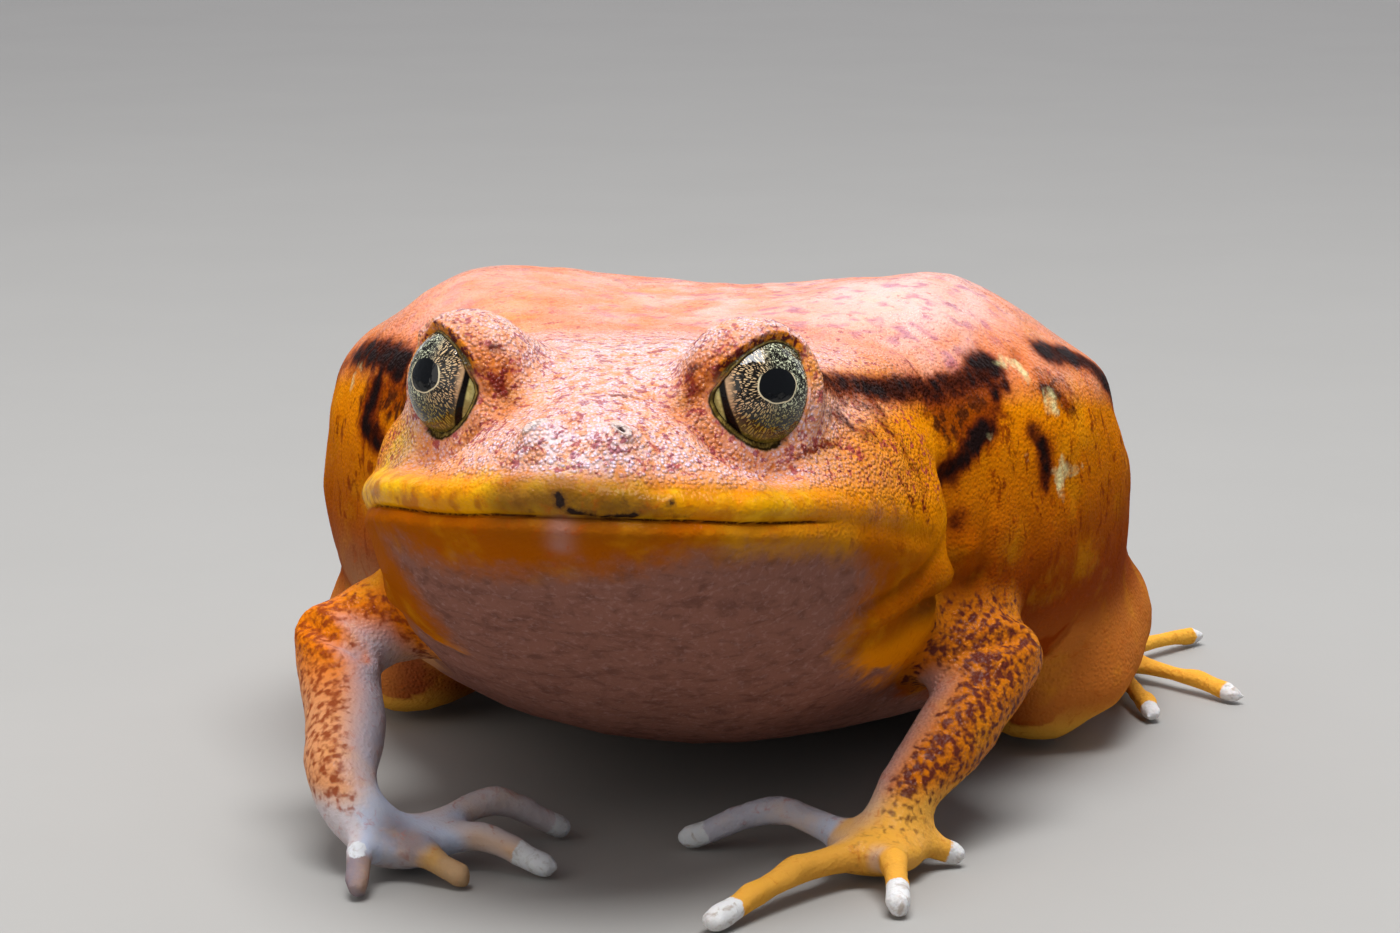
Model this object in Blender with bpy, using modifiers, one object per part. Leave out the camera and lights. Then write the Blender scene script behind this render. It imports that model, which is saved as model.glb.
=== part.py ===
"""Tomato frog, adult female, life size, sitting at rest as a still museum model.

The animal faces -Y, its left side is +X and the floor is z = 0. Every size below is in millimetres and
the finished objects are turned to metres at the end.
"""

import math

import bmesh
import bpy
import numpy as np
from mathutils import Matrix, Vector

for old in list(bpy.data.objects):
    bpy.data.objects.remove(old)

FROG = bpy.data.collections.new("Tomato frog")
WORKING = bpy.data.collections.new("Working shapes")
bpy.context.scene.collection.children.link(FROG)
bpy.context.scene.collection.children.link(WORKING)

# The frame while the animal is shaped has its origin on the floor under the front of the upper lip.
BODY_LENGTH = 92.0
HEAD_HALF_WIDTH = 18.4
HEAD_LENGTH = 26.0
HEAD_FADE = 45.0
BODY_HALF_WIDTH = 29.8
BODY_WIDEST = 55.0
BODY_FRONT_RUN = 33.0
BODY_BACK_RUN = 37.2
BODY_ROUNDNESS = 1.8
GAP = 0.3
DETAIL_FACTOR = 0.4
MILLIMETRE = 0.001

# Outlines from the side, as (distance behind the lip, height).
TOP_LINE = (
    (0, 27.5),
    (2, 31.5),
    (4, 32.9),
    (8, 33.9),
    (14, 34.6),
    (22, 34.7),
    (30, 34.1),
    (42, 34.3),
    (54, 33.6),
    (64, 31.3),
    (74, 26.8),
    (84, 19.6),
    (92, 9.5),
)
BELLY_LINE = (
    (0, 27.3),
    (2, 23.5),
    (8, 17.4),
    (14, 12.9),
    (22, 8.2),
    (32, 4.8),
    (44, 2.8),
    (58, 0.6),
    (68, -0.6),
    (78, -0.3),
    (86, 2.4),
    (92, 9.5),
)
WIDEST_LINE = ((0, 27.4), (10, 25.6), (18, 23.6), (28, 20.6), (42, 19.0), (60, 16.5), (76, 13.0), (92, 9.5))
UPPER_FULLNESS = ((0, 1.8), (4, 1.55), (8, 1.4), (12, 1.6), (18, 2.4), (28, 2.8), (52, 2.7), (76, 2.3), (92, 2.0))
LOWER_FULLNESS = 2.35
HUMP_RISE = 2.1
HEAD_SWAY = 0.9
BODY_SWAY = 0.45
HUMP_SIDE = 14.5
HUMP_STATION = 44.0

EYE = Vector((9.05, 12.5, 33.1))
EYE_RADIUS = 3.9
LID_THICKNESS = 0.9
EYE_TURN = math.radians(35)
EYE_LIFT = math.radians(12)
OPENING_RADIUS = 3.6
OPENING_REACH = (1.8, 11.2)
NOSTRIL = Vector((2.55, 3.1, 32.35))

MOUTH_HEIGHT = 27.4
MOUTH_CORNER = 24.6
NECK_CENTRE = Vector((0, 26.0, 24.0))
NECK_LEAN = math.radians(19.4)
NECK_HALF_WIDTH = 22.5
NECK_HALF_HEIGHT = 19.5
EAR = Vector((17.4, 21.5, 27.0))

VOXEL = 0.45
FINE_TRIANGLES = 5600
COARSE_TRIANGLES = 3300
ARM_TRIANGLES = 950
UPPER_ARM_TRIANGLES = 220
FOOT_TRIANGLES = 760
FOOT_ROOM_TRIANGLES = 360
THIGH_TRIANGLES = 320
SHANK_TRIANGLES = 260
PALM_REACH = 5.0
SOLE_REACH = 7.8
LEAST_VOLUME = 0.4


def mouth_z(y):
    """Height of the line of the mouth at a distance behind the lip."""
    return MOUTH_HEIGHT - 0.15 * y - 0.0045 * y * y


def run_of(y):
    """Arc coordinate along the body, 0 at the lip and pi at the vent, so that both ends come out round."""
    return np.arccos(np.clip(1 - 2 * np.asarray(y, float) / BODY_LENGTH, -1, 1))


def line(stations, y):
    """Smooth curve through the stations, read at y."""
    q = run_of([s[0] for s in stations])
    v = np.array([s[1] for s in stations], float)
    slope = np.gradient(v, q)
    at = run_of(y)
    i = np.clip(np.searchsorted(q, at) - 1, 0, len(q) - 2)
    h = q[i + 1] - q[i]
    t = (at - q[i]) / h
    return (
        v[i] * (2 * t**3 - 3 * t**2 + 1)
        + v[i + 1] * (3 * t**2 - 2 * t**3)
        + h * (slope[i] * (t**3 - 2 * t**2 + t) + slope[i + 1] * (t**3 - t**2))
    )


def half_width(y):
    """Outline from above: the oval of the head run into the wider oval of the body."""
    behind = np.where(y < HEAD_LENGTH, HEAD_LENGTH, HEAD_FADE)
    head = HEAD_HALF_WIDTH * np.sqrt(np.clip(1 - ((y - HEAD_LENGTH) / behind) ** 2, 0, 1))
    reach = np.where(y < BODY_WIDEST, BODY_FRONT_RUN, BODY_BACK_RUN)
    along = np.clip(1 - np.abs((y - BODY_WIDEST) / reach) ** BODY_ROUNDNESS, 0, 1)
    body = BODY_HALF_WIDTH * along ** (1 / BODY_ROUNDNESS)
    return (head**10 + body**10) ** 0.1


def bump(value, centre, width):
    return np.exp(-(((value - centre) / width) ** 2))


def ramp(value, start, end):
    t = np.clip((value - start) / (end - start), 0, 1)
    return t * t * (3 - 2 * t)


def new_object(name, bm):
    mesh = bpy.data.meshes.new(name)
    bm.to_mesh(mesh)
    bm.free()
    obj = bpy.data.objects.new(name, mesh)
    WORKING.objects.link(obj)
    return obj


def bake(obj):
    """Replaces the object's mesh with the one that its modifiers give."""
    graph = bpy.context.evaluated_depsgraph_get()
    mesh = bpy.data.meshes.new_from_object(obj.evaluated_get(graph))
    obj.modifiers.clear()
    obj.data = mesh
    return obj


def copy_of(obj):
    twin = obj.copy()
    twin.data = obj.data.copy()
    WORKING.objects.link(twin)
    return twin


def trunk():
    """Head, neck and body in one: a sphere with its poles at the lip and the vent, drawn out to the outlines."""
    bm = bmesh.new()
    bmesh.ops.create_uvsphere(bm, u_segments=112, v_segments=130, radius=1)
    at = np.array([v.co for v in bm.verts])
    y = BODY_LENGTH * (1 - at[:, 2]) / 2
    angle = np.arctan2(at[:, 1], at[:, 0])
    side = np.cos(angle)
    rise = np.sin(angle)
    fullness = np.where(rise > 0, line(UPPER_FULLNESS, y), LOWER_FULLNESS)
    scale = (np.abs(side) ** fullness + np.abs(rise) ** fullness) ** (-1 / fullness)
    middle = line(WIDEST_LINE, y)
    reach = np.where(rise > 0, line(TOP_LINE, y) - middle, middle - line(BELLY_LINE, y))
    x = half_width(y) * side * scale
    z = middle + reach * rise * scale
    hump = HUMP_RISE * bump(np.abs(x), HUMP_SIDE, 7) * bump(y, HUMP_STATION, 17)
    z += hump * ramp(z, 25, 32)
    x += HEAD_SWAY * ramp(y, 8, 24) - BODY_SWAY * ramp(y, 28, 48)
    for v, place in zip(bm.verts, zip(x, y, z)):
        v.co = place
    bmesh.ops.recalc_face_normals(bm, faces=bm.faces)
    return new_object("trunk", bm)


def ball(centre, sizes, turn=0.0, lift=0.0, rings=24):
    """Ellipsoid of three half sizes, turned about the upright axis after being tipped about its own x."""
    bm = bmesh.new()
    bmesh.ops.create_uvsphere(bm, u_segments=2 * rings, v_segments=rings, radius=1)
    place = Matrix.Translation(centre) @ Matrix.Rotation(turn, 4, "Z") @ Matrix.Rotation(lift, 4, "X")
    bmesh.ops.transform(bm, matrix=place @ Matrix.Diagonal((*sizes, 1)), verts=bm.verts)
    return new_object("ball", bm)


def tube(path, radii, segments=7):
    """Round limb through the points, with a ball at each end."""
    curve = bpy.data.curves.new("tube", "CURVE")
    curve.dimensions = "3D"
    curve.bevel_depth = 1
    curve.bevel_resolution = 6
    curve.use_fill_caps = True
    curve.resolution_u = segments
    spline = curve.splines.new("BEZIER")
    spline.bezier_points.add(len(path) - 1)
    for point, place, radius in zip(spline.bezier_points, path, radii):
        point.co = place
        point.radius = radius
        point.handle_left_type = "AUTO"
        point.handle_right_type = "AUTO"
    obj = bpy.data.objects.new("tube", curve)
    WORKING.objects.link(obj)
    graph = bpy.context.evaluated_depsgraph_get()
    bm = bmesh.new()
    bm.from_mesh(bpy.data.meshes.new_from_object(obj.evaluated_get(graph)))
    bpy.data.objects.remove(obj)
    bmesh.ops.remove_doubles(bm, verts=bm.verts, dist=1e-5)
    bmesh.ops.recalc_face_normals(bm, faces=bm.faces)
    for end in (0, -1):
        stop = bmesh.ops.create_uvsphere(bm, u_segments=20, v_segments=12, radius=radii[end])
        bmesh.ops.translate(bm, vec=path[end], verts=stop["verts"])
    return new_object("tube", bm)


def flesh(name, pieces, voxel=VOXEL, passes=3):
    """One closed skin over all the pieces."""
    bm = bmesh.new()
    for piece in pieces:
        bm.from_mesh(piece.data)
        bpy.data.objects.remove(piece)
    obj = new_object(name, bm)
    remesh = obj.modifiers.new("Skin", "REMESH")
    remesh.mode = "VOXEL"
    remesh.voxel_size = voxel
    smooth = obj.modifiers.new("Soften", "SMOOTH")
    smooth.factor = 0.5
    smooth.iterations = passes
    return bake(obj)


def thinned(obj, triangles, spare=None):
    """Copy of the object with about that many triangles. spare gives 1 where they are to stay fine."""
    twin = copy_of(obj)
    twin.data.calc_loop_triangles()
    decimate = twin.modifiers.new("Thin", "DECIMATE")
    decimate.ratio = triangles / len(twin.data.loop_triangles)
    decimate.use_collapse_triangulate = True
    if spare:
        group = twin.vertex_groups.new(name="plain")
        for v in twin.data.vertices:
            group.add([v.index], 1 - spare(v.co), "REPLACE")
        decimate.vertex_group = "plain"
        decimate.vertex_group_factor = DETAIL_FACTOR
    return bake(twin)


def detail(place):
    """1 at the lids, lips and nostrils, 0 where the skin is plain."""
    x, y, z = abs(place.x), place.y, place.z
    lid = bump((Vector((x, y, z)) - EYE).length, EYE_RADIUS + LID_THICKNESS, 2.0) * (1 - ramp(y, 13, 17))
    lips = bump(z, mouth_z(y), 1.6) * (1 - ramp(y, MOUTH_CORNER, MOUTH_CORNER + 3))
    nostril = bump((Vector((x, y, z)) - NOSTRIL).length, 0, 2.0)
    return float(max(lid, lips, nostril))


def cut(obj, cutters):
    """Takes the cutters away from the object. The cutters stay."""
    for cutter in cutters:
        boolean = obj.modifiers.new("Cut", "BOOLEAN")
        boolean.operation = "DIFFERENCE"
        boolean.solver = "EXACT"
        boolean.object = cutter
    return bake(obj)


def swollen(obj, by=GAP):
    twin = copy_of(obj)
    displace = twin.modifiers.new("Swell", "DISPLACE")
    displace.strength = by
    displace.mid_level = 0
    return bake(twin)


def disc(centre, normal, radius, thickness=GAP, height=None):
    """Thin round plate across a limb, or an oval one where a height is given."""
    bm = bmesh.new()
    bmesh.ops.create_cone(
        bm, cap_ends=True, segments=40, radius1=1, radius2=1, depth=1
    )
    turn = Vector(normal).to_track_quat("Z", "Y").to_matrix().to_4x4()
    size = Matrix.Diagonal((radius, height or radius, thickness, 1))
    bmesh.ops.transform(bm, matrix=Matrix.Translation(centre) @ turn @ size, verts=bm.verts)
    return new_object("disc", bm)


def parted(obj):
    """The closed bodies of the object, each a new object."""
    bm = bmesh.new()
    bm.from_mesh(obj.data)
    bpy.data.objects.remove(obj)
    bm.verts.ensure_lookup_table()
    owner = [None] * len(bm.verts)
    islands = []
    for start in bm.verts:
        if owner[start.index] is not None:
            continue
        owner[start.index] = len(islands)
        island = [start]
        for v in island:
            for edge in v.link_edges:
                other = edge.other_vert(v)
                if owner[other.index] is None:
                    owner[other.index] = len(islands)
                    island.append(other)
        islands.append(bmesh.new())
    twins = [islands[owner[v.index]].verts.new(v.co) for v in bm.verts]
    for face in bm.faces:
        islands[owner[face.verts[0].index]].faces.new([twins[v.index] for v in face.verts])
    bm.free()
    bodies = []
    for part in islands:
        if part.calc_volume() > LEAST_VOLUME:
            bodies.append(new_object("body", part))
        else:
            part.free()
    return bodies


def centre_of(obj):
    at = np.empty(3 * len(obj.data.vertices))
    obj.data.vertices.foreach_get("co", at)
    at = at.reshape(-1, 3)
    return Vector((at.min(axis=0) + at.max(axis=0)) / 2)


def carve(obj):
    """Lips, folds and hollows, pushed in or out along the skin."""
    mesh = obj.data
    at = np.empty(3 * len(mesh.vertices), np.float32)
    out = np.empty(3 * len(mesh.vertices), np.float32)
    mesh.vertices.foreach_get("co", at)
    mesh.vertices.foreach_get("normal", out)
    at = at.reshape(-1, 3).astype(float)
    out = out.reshape(-1, 3)
    x, y, z = np.abs(at[:, 0]), at[:, 1], at[:, 2]
    push = np.zeros(len(at))

    # Two lips with the closed mouth between them, fading out at the corner of the jaw.
    above = z - mouth_z(y)
    front = (1 - ramp(y, MOUTH_CORNER - 3, MOUTH_CORNER + 1)) * ramp(z, 17, 19)
    push += front * (0.5 * bump(above, 1.15, 0.8) + 0.45 * bump(above, -1.1, 0.8) - 0.5 * bump(above, 0, 0.35))

    # The thick corner of the jaw and the fold behind it, from the temple down to the arm.
    fold_y = 29.0 - 0.16 * (z - 20)
    side = ramp(x, 12.5, 16) * ramp(z, 12, 17) * (1 - ramp(z, 29, 32))
    push += side * (0.7 * bump(y, fold_y - 3.6, 2.6) - 1.0 * bump(y, fold_y, 1.5) + 0.5 * bump(y, fold_y + 2.6, 1.8))

    # The ridge from the eye back over the ear, and on along the edge of the back.
    ridge_z = 33.6 - 0.17 * (y - 16)
    along = ramp(y, 15, 18) * (1 - ramp(y, 56, 66))
    push += along * ramp(x, 10.5, 12.5) * (0.45 * bump(z, ridge_z, 1.0) - 0.35 * bump(z, ridge_z - 2.0, 1.1))

    # The eardrum is only a faint disc.
    ear = np.sqrt((y - EAR.y) ** 2 + (z - EAR.z) ** 2)
    push += ramp(x, 13, 15) * (0.18 * bump(ear, 2.3, 0.6) - 0.15 * bump(ear, 0, 1.5))

    # The forehead dips a little between the eyes and the snout is blunt.
    push -= 0.35 * bump(x, 0, 3.2) * bump(y, 12, 6) * ramp(z, 31, 33)
    at += out * push[:, None]
    mesh.vertices.foreach_set("co", at.astype(np.float32).ravel())
    mesh.update()


def mirrored(point, side):
    return Vector((side * point[0], point[1], point[2]))


# The left arm reaches forward. The right one is bent more and its hand is turned in under the throat.
ARMS = {
    "left": {
        "shoulder": (13.5, 31.5, 15.5),
        "elbow": (23.6, 33.6, 11.6),
        "wrist": (18.0, 21.8, 4.6),
        "palm": (16.6, 18.6, 1.85),
        "palm_turn": -0.25,
        "tips": ((3.4, 22.4, 0.9), (8.2, 4.4, 0.9), (19.2, 9.6, 0.9), (21.3, 21.6, 0.9)),
        "knuckles": ((9.0, 22.6, 3.0), (12.2, 11.8, 2.1), (18.3, 14.0, 2.2), (19.6, 20.8, 1.8)),
    },
    "right": {
        "shoulder": (-13.5, 30.0, 15.8),
        "elbow": (-21.9, 26.4, 12.4),
        "wrist": (-17.2, 13.6, 4.0),
        "palm": (-14.4, 14.8, 1.85),
        "palm_turn": 0.9,
        "tips": ((-5.6, 23.4, 0.9), (-4.7, 14.2, 0.9), (-9.6, 11.0, 0.9), (-15.6, 7.6, 1.0)),
        "knuckles": ((-9.4, 20.3, 3.4), (-9.2, 15.4, 2.3), (-12.4, 12.0, 2.0), (-16.2, 10.6, 2.3)),
    },
}
# Colour and roughness of the pieces, by how their names begin.
COLOURS = {
    "head": ((0.78, 0.24, 0.07), 0.38),
    "lower_jaw": ((0.62, 0.36, 0.26), 0.42),
    "torso": ((0.80, 0.25, 0.04), 0.38),
    "eye": ((0.30, 0.27, 0.16), 0.08),
    "upper_arm": ((0.76, 0.27, 0.04), 0.38),
    "forearm": ((0.76, 0.27, 0.04), 0.38),
    "hand": ((0.78, 0.34, 0.05), 0.38),
    "finger": ((0.80, 0.42, 0.08), 0.38),
    "thigh": ((0.74, 0.24, 0.04), 0.38),
    "shank": ((0.70, 0.20, 0.04), 0.38),
    "foot": ((0.78, 0.36, 0.06), 0.38),
    "toe": ((0.80, 0.42, 0.08), 0.38),
}
UPPER_ARM_RADII = (4.2, 3.4, 2.8)
FOREARM_RADII = (2.9, 2.9, 2.15, 1.7)
PALM_SIZES = (3.5, 3.3, 1.75)
WRIST_PLATE = 3.6
FINGER_PLATE = 1.9
TOE_PLATE = 1.4
FINGER_RADIUS = 1.0
FINGER_TIP_RADIUS = 1.12

# The legs are folded beside the body. Only the toes of the left one reach out to the side.
LEGS = {
    "left": {
        "hip": (12.0, 78.0, 9.5),
        "knee": (23.4, 54.2, 5.7),
        "ankle": (22.4, 85.0, 3.3),
        "sole": (26.6, 77.0, 1.35),
        "tips": ((21.2, 66.6), (25.4, 62.4), (31.6, 61.6), (37.5, 68.4), (33.4, 87.4)),
    },
    "right": {
        "hip": (-12.0, 78.0, 9.5),
        "knee": (-23.4, 54.2, 5.7),
        "ankle": (-22.4, 85.0, 3.3),
        "sole": (-26.6, 77.0, 1.35),
        "tips": ((-20.9, 66.2), (-25.3, 62.0), (-30.3, 61.6), (-34.6, 65.8), (-34.2, 84.0)),
    },
}
THIGH_RADII = (7.0, 7.0, 5.6)
SHANK_RADII = (4.4, 4.5, 2.6)
HEEL_RADII = (2.0, 1.9, 1.7)
SOLE_SIZES = (3.0, 3.4, 1.6)
TOE_RADIUS = 0.85
TOE_TIP_RADIUS = 0.95
TOE_HEIGHT = 0.75


def arm_flesh(arm):
    """The upper arm, and the forearm, hand and fingers in one skin."""
    shoulder, elbow, wrist, palm = (Vector(arm[k]) for k in ("shoulder", "elbow", "wrist", "palm"))
    upper = flesh("upper_arm", [tube((shoulder, shoulder.lerp(elbow, 0.6), elbow), UPPER_ARM_RADII)], voxel=0.5)
    pieces = [
        tube((elbow, elbow.lerp(wrist, 0.45), wrist, palm), FOREARM_RADII),
        ball(palm, PALM_SIZES, turn=arm["palm_turn"]),
    ]
    for tip, knuckle in zip(arm["tips"], arm["knuckles"]):
        tip, knuckle = Vector(tip), Vector(knuckle)
        start = palm.lerp(knuckle, 0.25)
        pieces.append(
            tube(
                (start, knuckle, knuckle.lerp(tip, 0.62), tip),
                (FINGER_RADIUS * 1.25, FINGER_RADIUS * 1.08, FINGER_RADIUS * 0.95, FINGER_TIP_RADIUS),
            )
        )
    return upper, flesh("forearm", pieces, voxel=0.38, passes=2)


def root_of(palm, knuckle, tip, reach):
    """Where a digit leaves the palm, that far from its middle, and the way it runs there."""
    palm, knuckle, tip = Vector(palm), Vector(knuckle), Vector(tip)
    first, second = (knuckle, tip) if (knuckle - palm).length < reach else (palm, knuckle)
    steps = 60
    for i in range(steps + 1):
        place = first.lerp(second, i / steps)
        if (place - palm).length >= reach:
            break
    return place, second - first


def main_flesh():
    pieces = [trunk()]
    for side in (1, -1):
        eye = mirrored(EYE, side)
        size = EYE_RADIUS + LID_THICKNESS
        pieces.append(ball(eye, (size, size, size)))
        pieces.append(ball(eye + Vector((side * -1.2, 2.6, -1.1)), (size, size + 0.9, size - 0.4), lift=-0.25))
        pieces.append(ball(eye + Vector((side * 0.4, 4.4, -2.6)), (size, size + 1.6, size - 0.4), lift=-0.2))
        pieces.append(ball(mirrored(NOSTRIL, side) - Vector((0, 0, 0.75)), (1.3, 1.5, 1.2), rings=12))
    body = flesh("flesh", pieces)
    carve(body)
    return body


def sheet():
    """Curved plate along the line of the mouth, from before the lip to just past the corner."""
    bm = bmesh.new()
    steps = 20
    half, over, before = NECK_HALF_WIDTH, 0.35, 4.0
    section = ((-half, -GAP / 2), (half, -GAP / 2), (half, GAP / 2), (-half, GAP / 2))
    rows = []
    for i in range(steps + 1):
        y = -before + (MOUTH_CORNER + over + before) * i / steps
        z = mouth_z(max(y, 0)) - 0.15 * min(y, 0)
        rows.append([bm.verts.new((x, y, z + h)) for x, h in section])
    for low, high in zip(rows, rows[1:]):
        for k in range(4):
            bm.faces.new((low[k], low[(k + 1) % 4], high[(k + 1) % 4], high[k]))
    bm.faces.new(rows[0][::-1])
    bm.faces.new(rows[-1])
    bmesh.ops.recalc_face_normals(bm, faces=bm.faces)
    return new_object("sheet", bm)


def eye_direction(side, turn=EYE_TURN, lift=EYE_LIFT):
    return Vector((side * math.sin(turn) * math.cos(lift), -math.cos(turn) * math.cos(lift), math.sin(lift)))


def head_cutters():
    """Eye sockets, the openings between the lids, and nostrils."""
    cutters = []
    for side in (1, -1):
        eye = mirrored(EYE, side)
        socket = EYE_RADIUS + GAP
        cutters.append(ball(eye, (socket, socket, socket), rings=12))
        ahead = eye_direction(side)
        near, far = OPENING_REACH
        cutters.append(disc(eye + ahead * (near + far) / 2, ahead, OPENING_RADIUS, thickness=far - near))
        cutters.append(ball(mirrored(NOSTRIL, side) + Vector((side * 0.25, -0.2, 0.35)), (0.42, 0.62, 0.75), rings=5))
    return cutters


def ground():
    """Block under the floor, which gives every foot and the belly their flats."""
    bm = bmesh.new()
    bmesh.ops.create_cube(bm, size=4 * BODY_LENGTH)
    bmesh.ops.translate(bm, vec=(0, 0, -2 * BODY_LENGTH), verts=bm.verts)
    return new_object("ground", bm)


def arm_joints(arm):
    """Plates across the wrist and the root of each finger, and a place in each piece."""
    elbow, wrist, palm = (Vector(arm[k]) for k in ("elbow", "wrist", "palm"))
    across = (wrist - elbow).normalized()
    plates = [disc(wrist - across * 1.2, across, WRIST_PLATE)]
    places = {"forearm": elbow.lerp(wrist, 0.6), "hand": palm}
    for number, (tip, knuckle) in enumerate(zip(arm["tips"], arm["knuckles"]), 1):
        root, way = root_of(palm, knuckle, tip, PALM_REACH)
        plates.append(disc(root, way, FINGER_PLATE))
        places[f"finger_{number}"] = root.lerp(Vector(tip), 0.5)
    return plates, places


def leg_flesh(leg):
    hip, knee, ankle, sole = (Vector(leg[k]) for k in ("hip", "knee", "ankle", "sole"))
    thigh = flesh("thigh", [tube((hip, hip.lerp(knee, 0.5) + Vector((0, 0, 0.8)), knee), THIGH_RADII)], voxel=0.6)
    out = Vector((math.copysign(1, knee.x), 0, 0))
    front = knee + Vector((0, -0.2, 0.7)) + out * 3.1
    shank = flesh(
        "shank",
        [tube((front, front.lerp(ankle, 0.4) + out * 2.4 + Vector((0, 0, 2.4)), ankle + out * 0.6), SHANK_RADII)],
        voxel=0.6,
    )
    heel = ankle + Vector((0, 2.2, -1.5))
    pieces = [tube((heel, heel.lerp(sole, 0.5), sole), HEEL_RADII), ball(sole, SOLE_SIZES)]
    for tip in leg["tips"]:
        tip = Vector((*tip, TOE_HEIGHT))
        middle = sole.lerp(tip, 0.55) + Vector((0, 0, 0.25))
        pieces.append(tube((sole, middle, tip), (TOE_RADIUS * 1.3, TOE_RADIUS, TOE_TIP_RADIUS)))
    foot = flesh("foot", pieces, voxel=0.4)
    return thigh, shank, foot


def named(bodies, places):
    """The body whose middle is nearest to each place."""
    chosen = {}
    for name, place in places.items():
        chosen[name] = min(bodies, key=lambda body: (centre_of(body) - place).length)
    return chosen


PLACES = {"head": Vector((0, 15, 29)), "lower_jaw": Vector((0, 13, 19)), "torso": Vector((0, 58, 18))}

skin = main_flesh()
arms = {side: arm_flesh(arm) for side, arm in ARMS.items()}
legs = {side: leg_flesh(leg) for side, leg in LEGS.items()}
floor = ground()
neck = disc(NECK_CENTRE, (0, math.cos(NECK_LEAN), -math.sin(NECK_LEAN)), NECK_HALF_WIDTH, height=NECK_HALF_HEIGHT)
mouth = sheet()
room = []
for side in LEGS:
    thigh, shank, foot = legs[side]
    upper, fore = arms[side]
    room += [thinned(swollen(thigh), THIGH_TRIANGLES), thinned(swollen(shank), SHANK_TRIANGLES)]
    room += [thinned(swollen(upper), UPPER_ARM_TRIANGLES), thinned(swollen(fore), ARM_TRIANGLES)]

kept = {}
fine = parted(cut(thinned(skin, FINE_TRIANGLES, detail), [floor, neck, mouth] + head_cutters()))
chosen = named(fine, PLACES)
kept["head"] = chosen["head"]
kept["lower_jaw"] = chosen["lower_jaw"]
coarse = parted(cut(thinned(skin, COARSE_TRIANGLES), [floor, neck, mouth] + room))
kept["torso"] = named(coarse, PLACES)["torso"]

for side, arm in ARMS.items():
    plates, places = arm_joints(arm)
    upper, fore = arms[side]
    kept[f"upper_arm_{side}"] = cut(thinned(upper, UPPER_ARM_TRIANGLES), [thinned(swollen(fore), ARM_TRIANGLES)])
    pieces = parted(cut(thinned(fore, ARM_TRIANGLES), [floor] + plates))
    for name, piece in named(pieces, places).items():
        first, _, number = name.partition("_")
        full = f"finger_{side}_{number}" if first == "finger" else f"{name}_{side}"
        kept[full] = piece

for side, (thigh, shank, foot) in legs.items():
    leg = LEGS[side]
    foot_room = thinned(swollen(foot), FOOT_ROOM_TRIANGLES)
    kept[f"thigh_{side}"] = cut(thinned(thigh, THIGH_TRIANGLES), [floor, thinned(swollen(shank), SHANK_TRIANGLES)])
    kept[f"shank_{side}"] = cut(thinned(shank, SHANK_TRIANGLES), [floor, foot_room])
    plates = [floor]
    places = {f"foot_{side}": Vector(leg["sole"])}
    for number, tip in enumerate(leg["tips"], 1):
        tip = Vector((*tip, TOE_HEIGHT))
        root, way = root_of(leg["sole"], leg["sole"], tip, SOLE_REACH)
        plates.append(disc(root, way, TOE_PLATE))
        places[f"toe_{side}_{number}"] = root.lerp(tip, 0.5)
    kept.update(named(parted(cut(thinned(foot, FOOT_TRIANGLES), plates)), places))

for side, name in ((1, "left"), (-1, "right")):
    kept[f"eye_{name}"] = ball(mirrored(EYE, side), (EYE_RADIUS, EYE_RADIUS, EYE_RADIUS), rings=11)

names = {obj: name for name, obj in kept.items()}
for obj in list(bpy.data.objects):
    if obj not in names:
        bpy.data.objects.remove(obj)

# The finished animal stands over the middle of its outline on the floor, in metres.
corners = []
for obj in names:
    at = np.empty(3 * len(obj.data.vertices))
    obj.data.vertices.foreach_get("co", at)
    corners += [at.reshape(-1, 3).min(axis=0), at.reshape(-1, 3).max(axis=0)]
low, high = np.min(corners, axis=0), np.max(corners, axis=0)
shift = Matrix.Translation((-(low[0] + high[0]) / 2, -(low[1] + high[1]) / 2, 0))
for obj, name in names.items():
    obj.data.transform(Matrix.Scale(MILLIMETRE, 4) @ shift)
    obj.data.shade_smooth()
    obj.name = name
    obj.data.name = name
    FROG.objects.link(obj)
    WORKING.objects.unlink(obj)
    colour, roughness = next(look for start, look in COLOURS.items() if name.startswith(start))
    material = bpy.data.materials.new(name)
    material.use_nodes = True
    surface = material.node_tree.nodes["Principled BSDF"]
    surface.inputs["Base Color"].default_value = (*colour, 1)
    surface.inputs["Roughness"].default_value = roughness
    obj.data.materials.clear()
    obj.data.materials.append(material)
bpy.data.collections.remove(WORKING)
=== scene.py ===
import math

import bmesh
import bpy
import numpy as np
from mathutils import Matrix, Vector, noise


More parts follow.
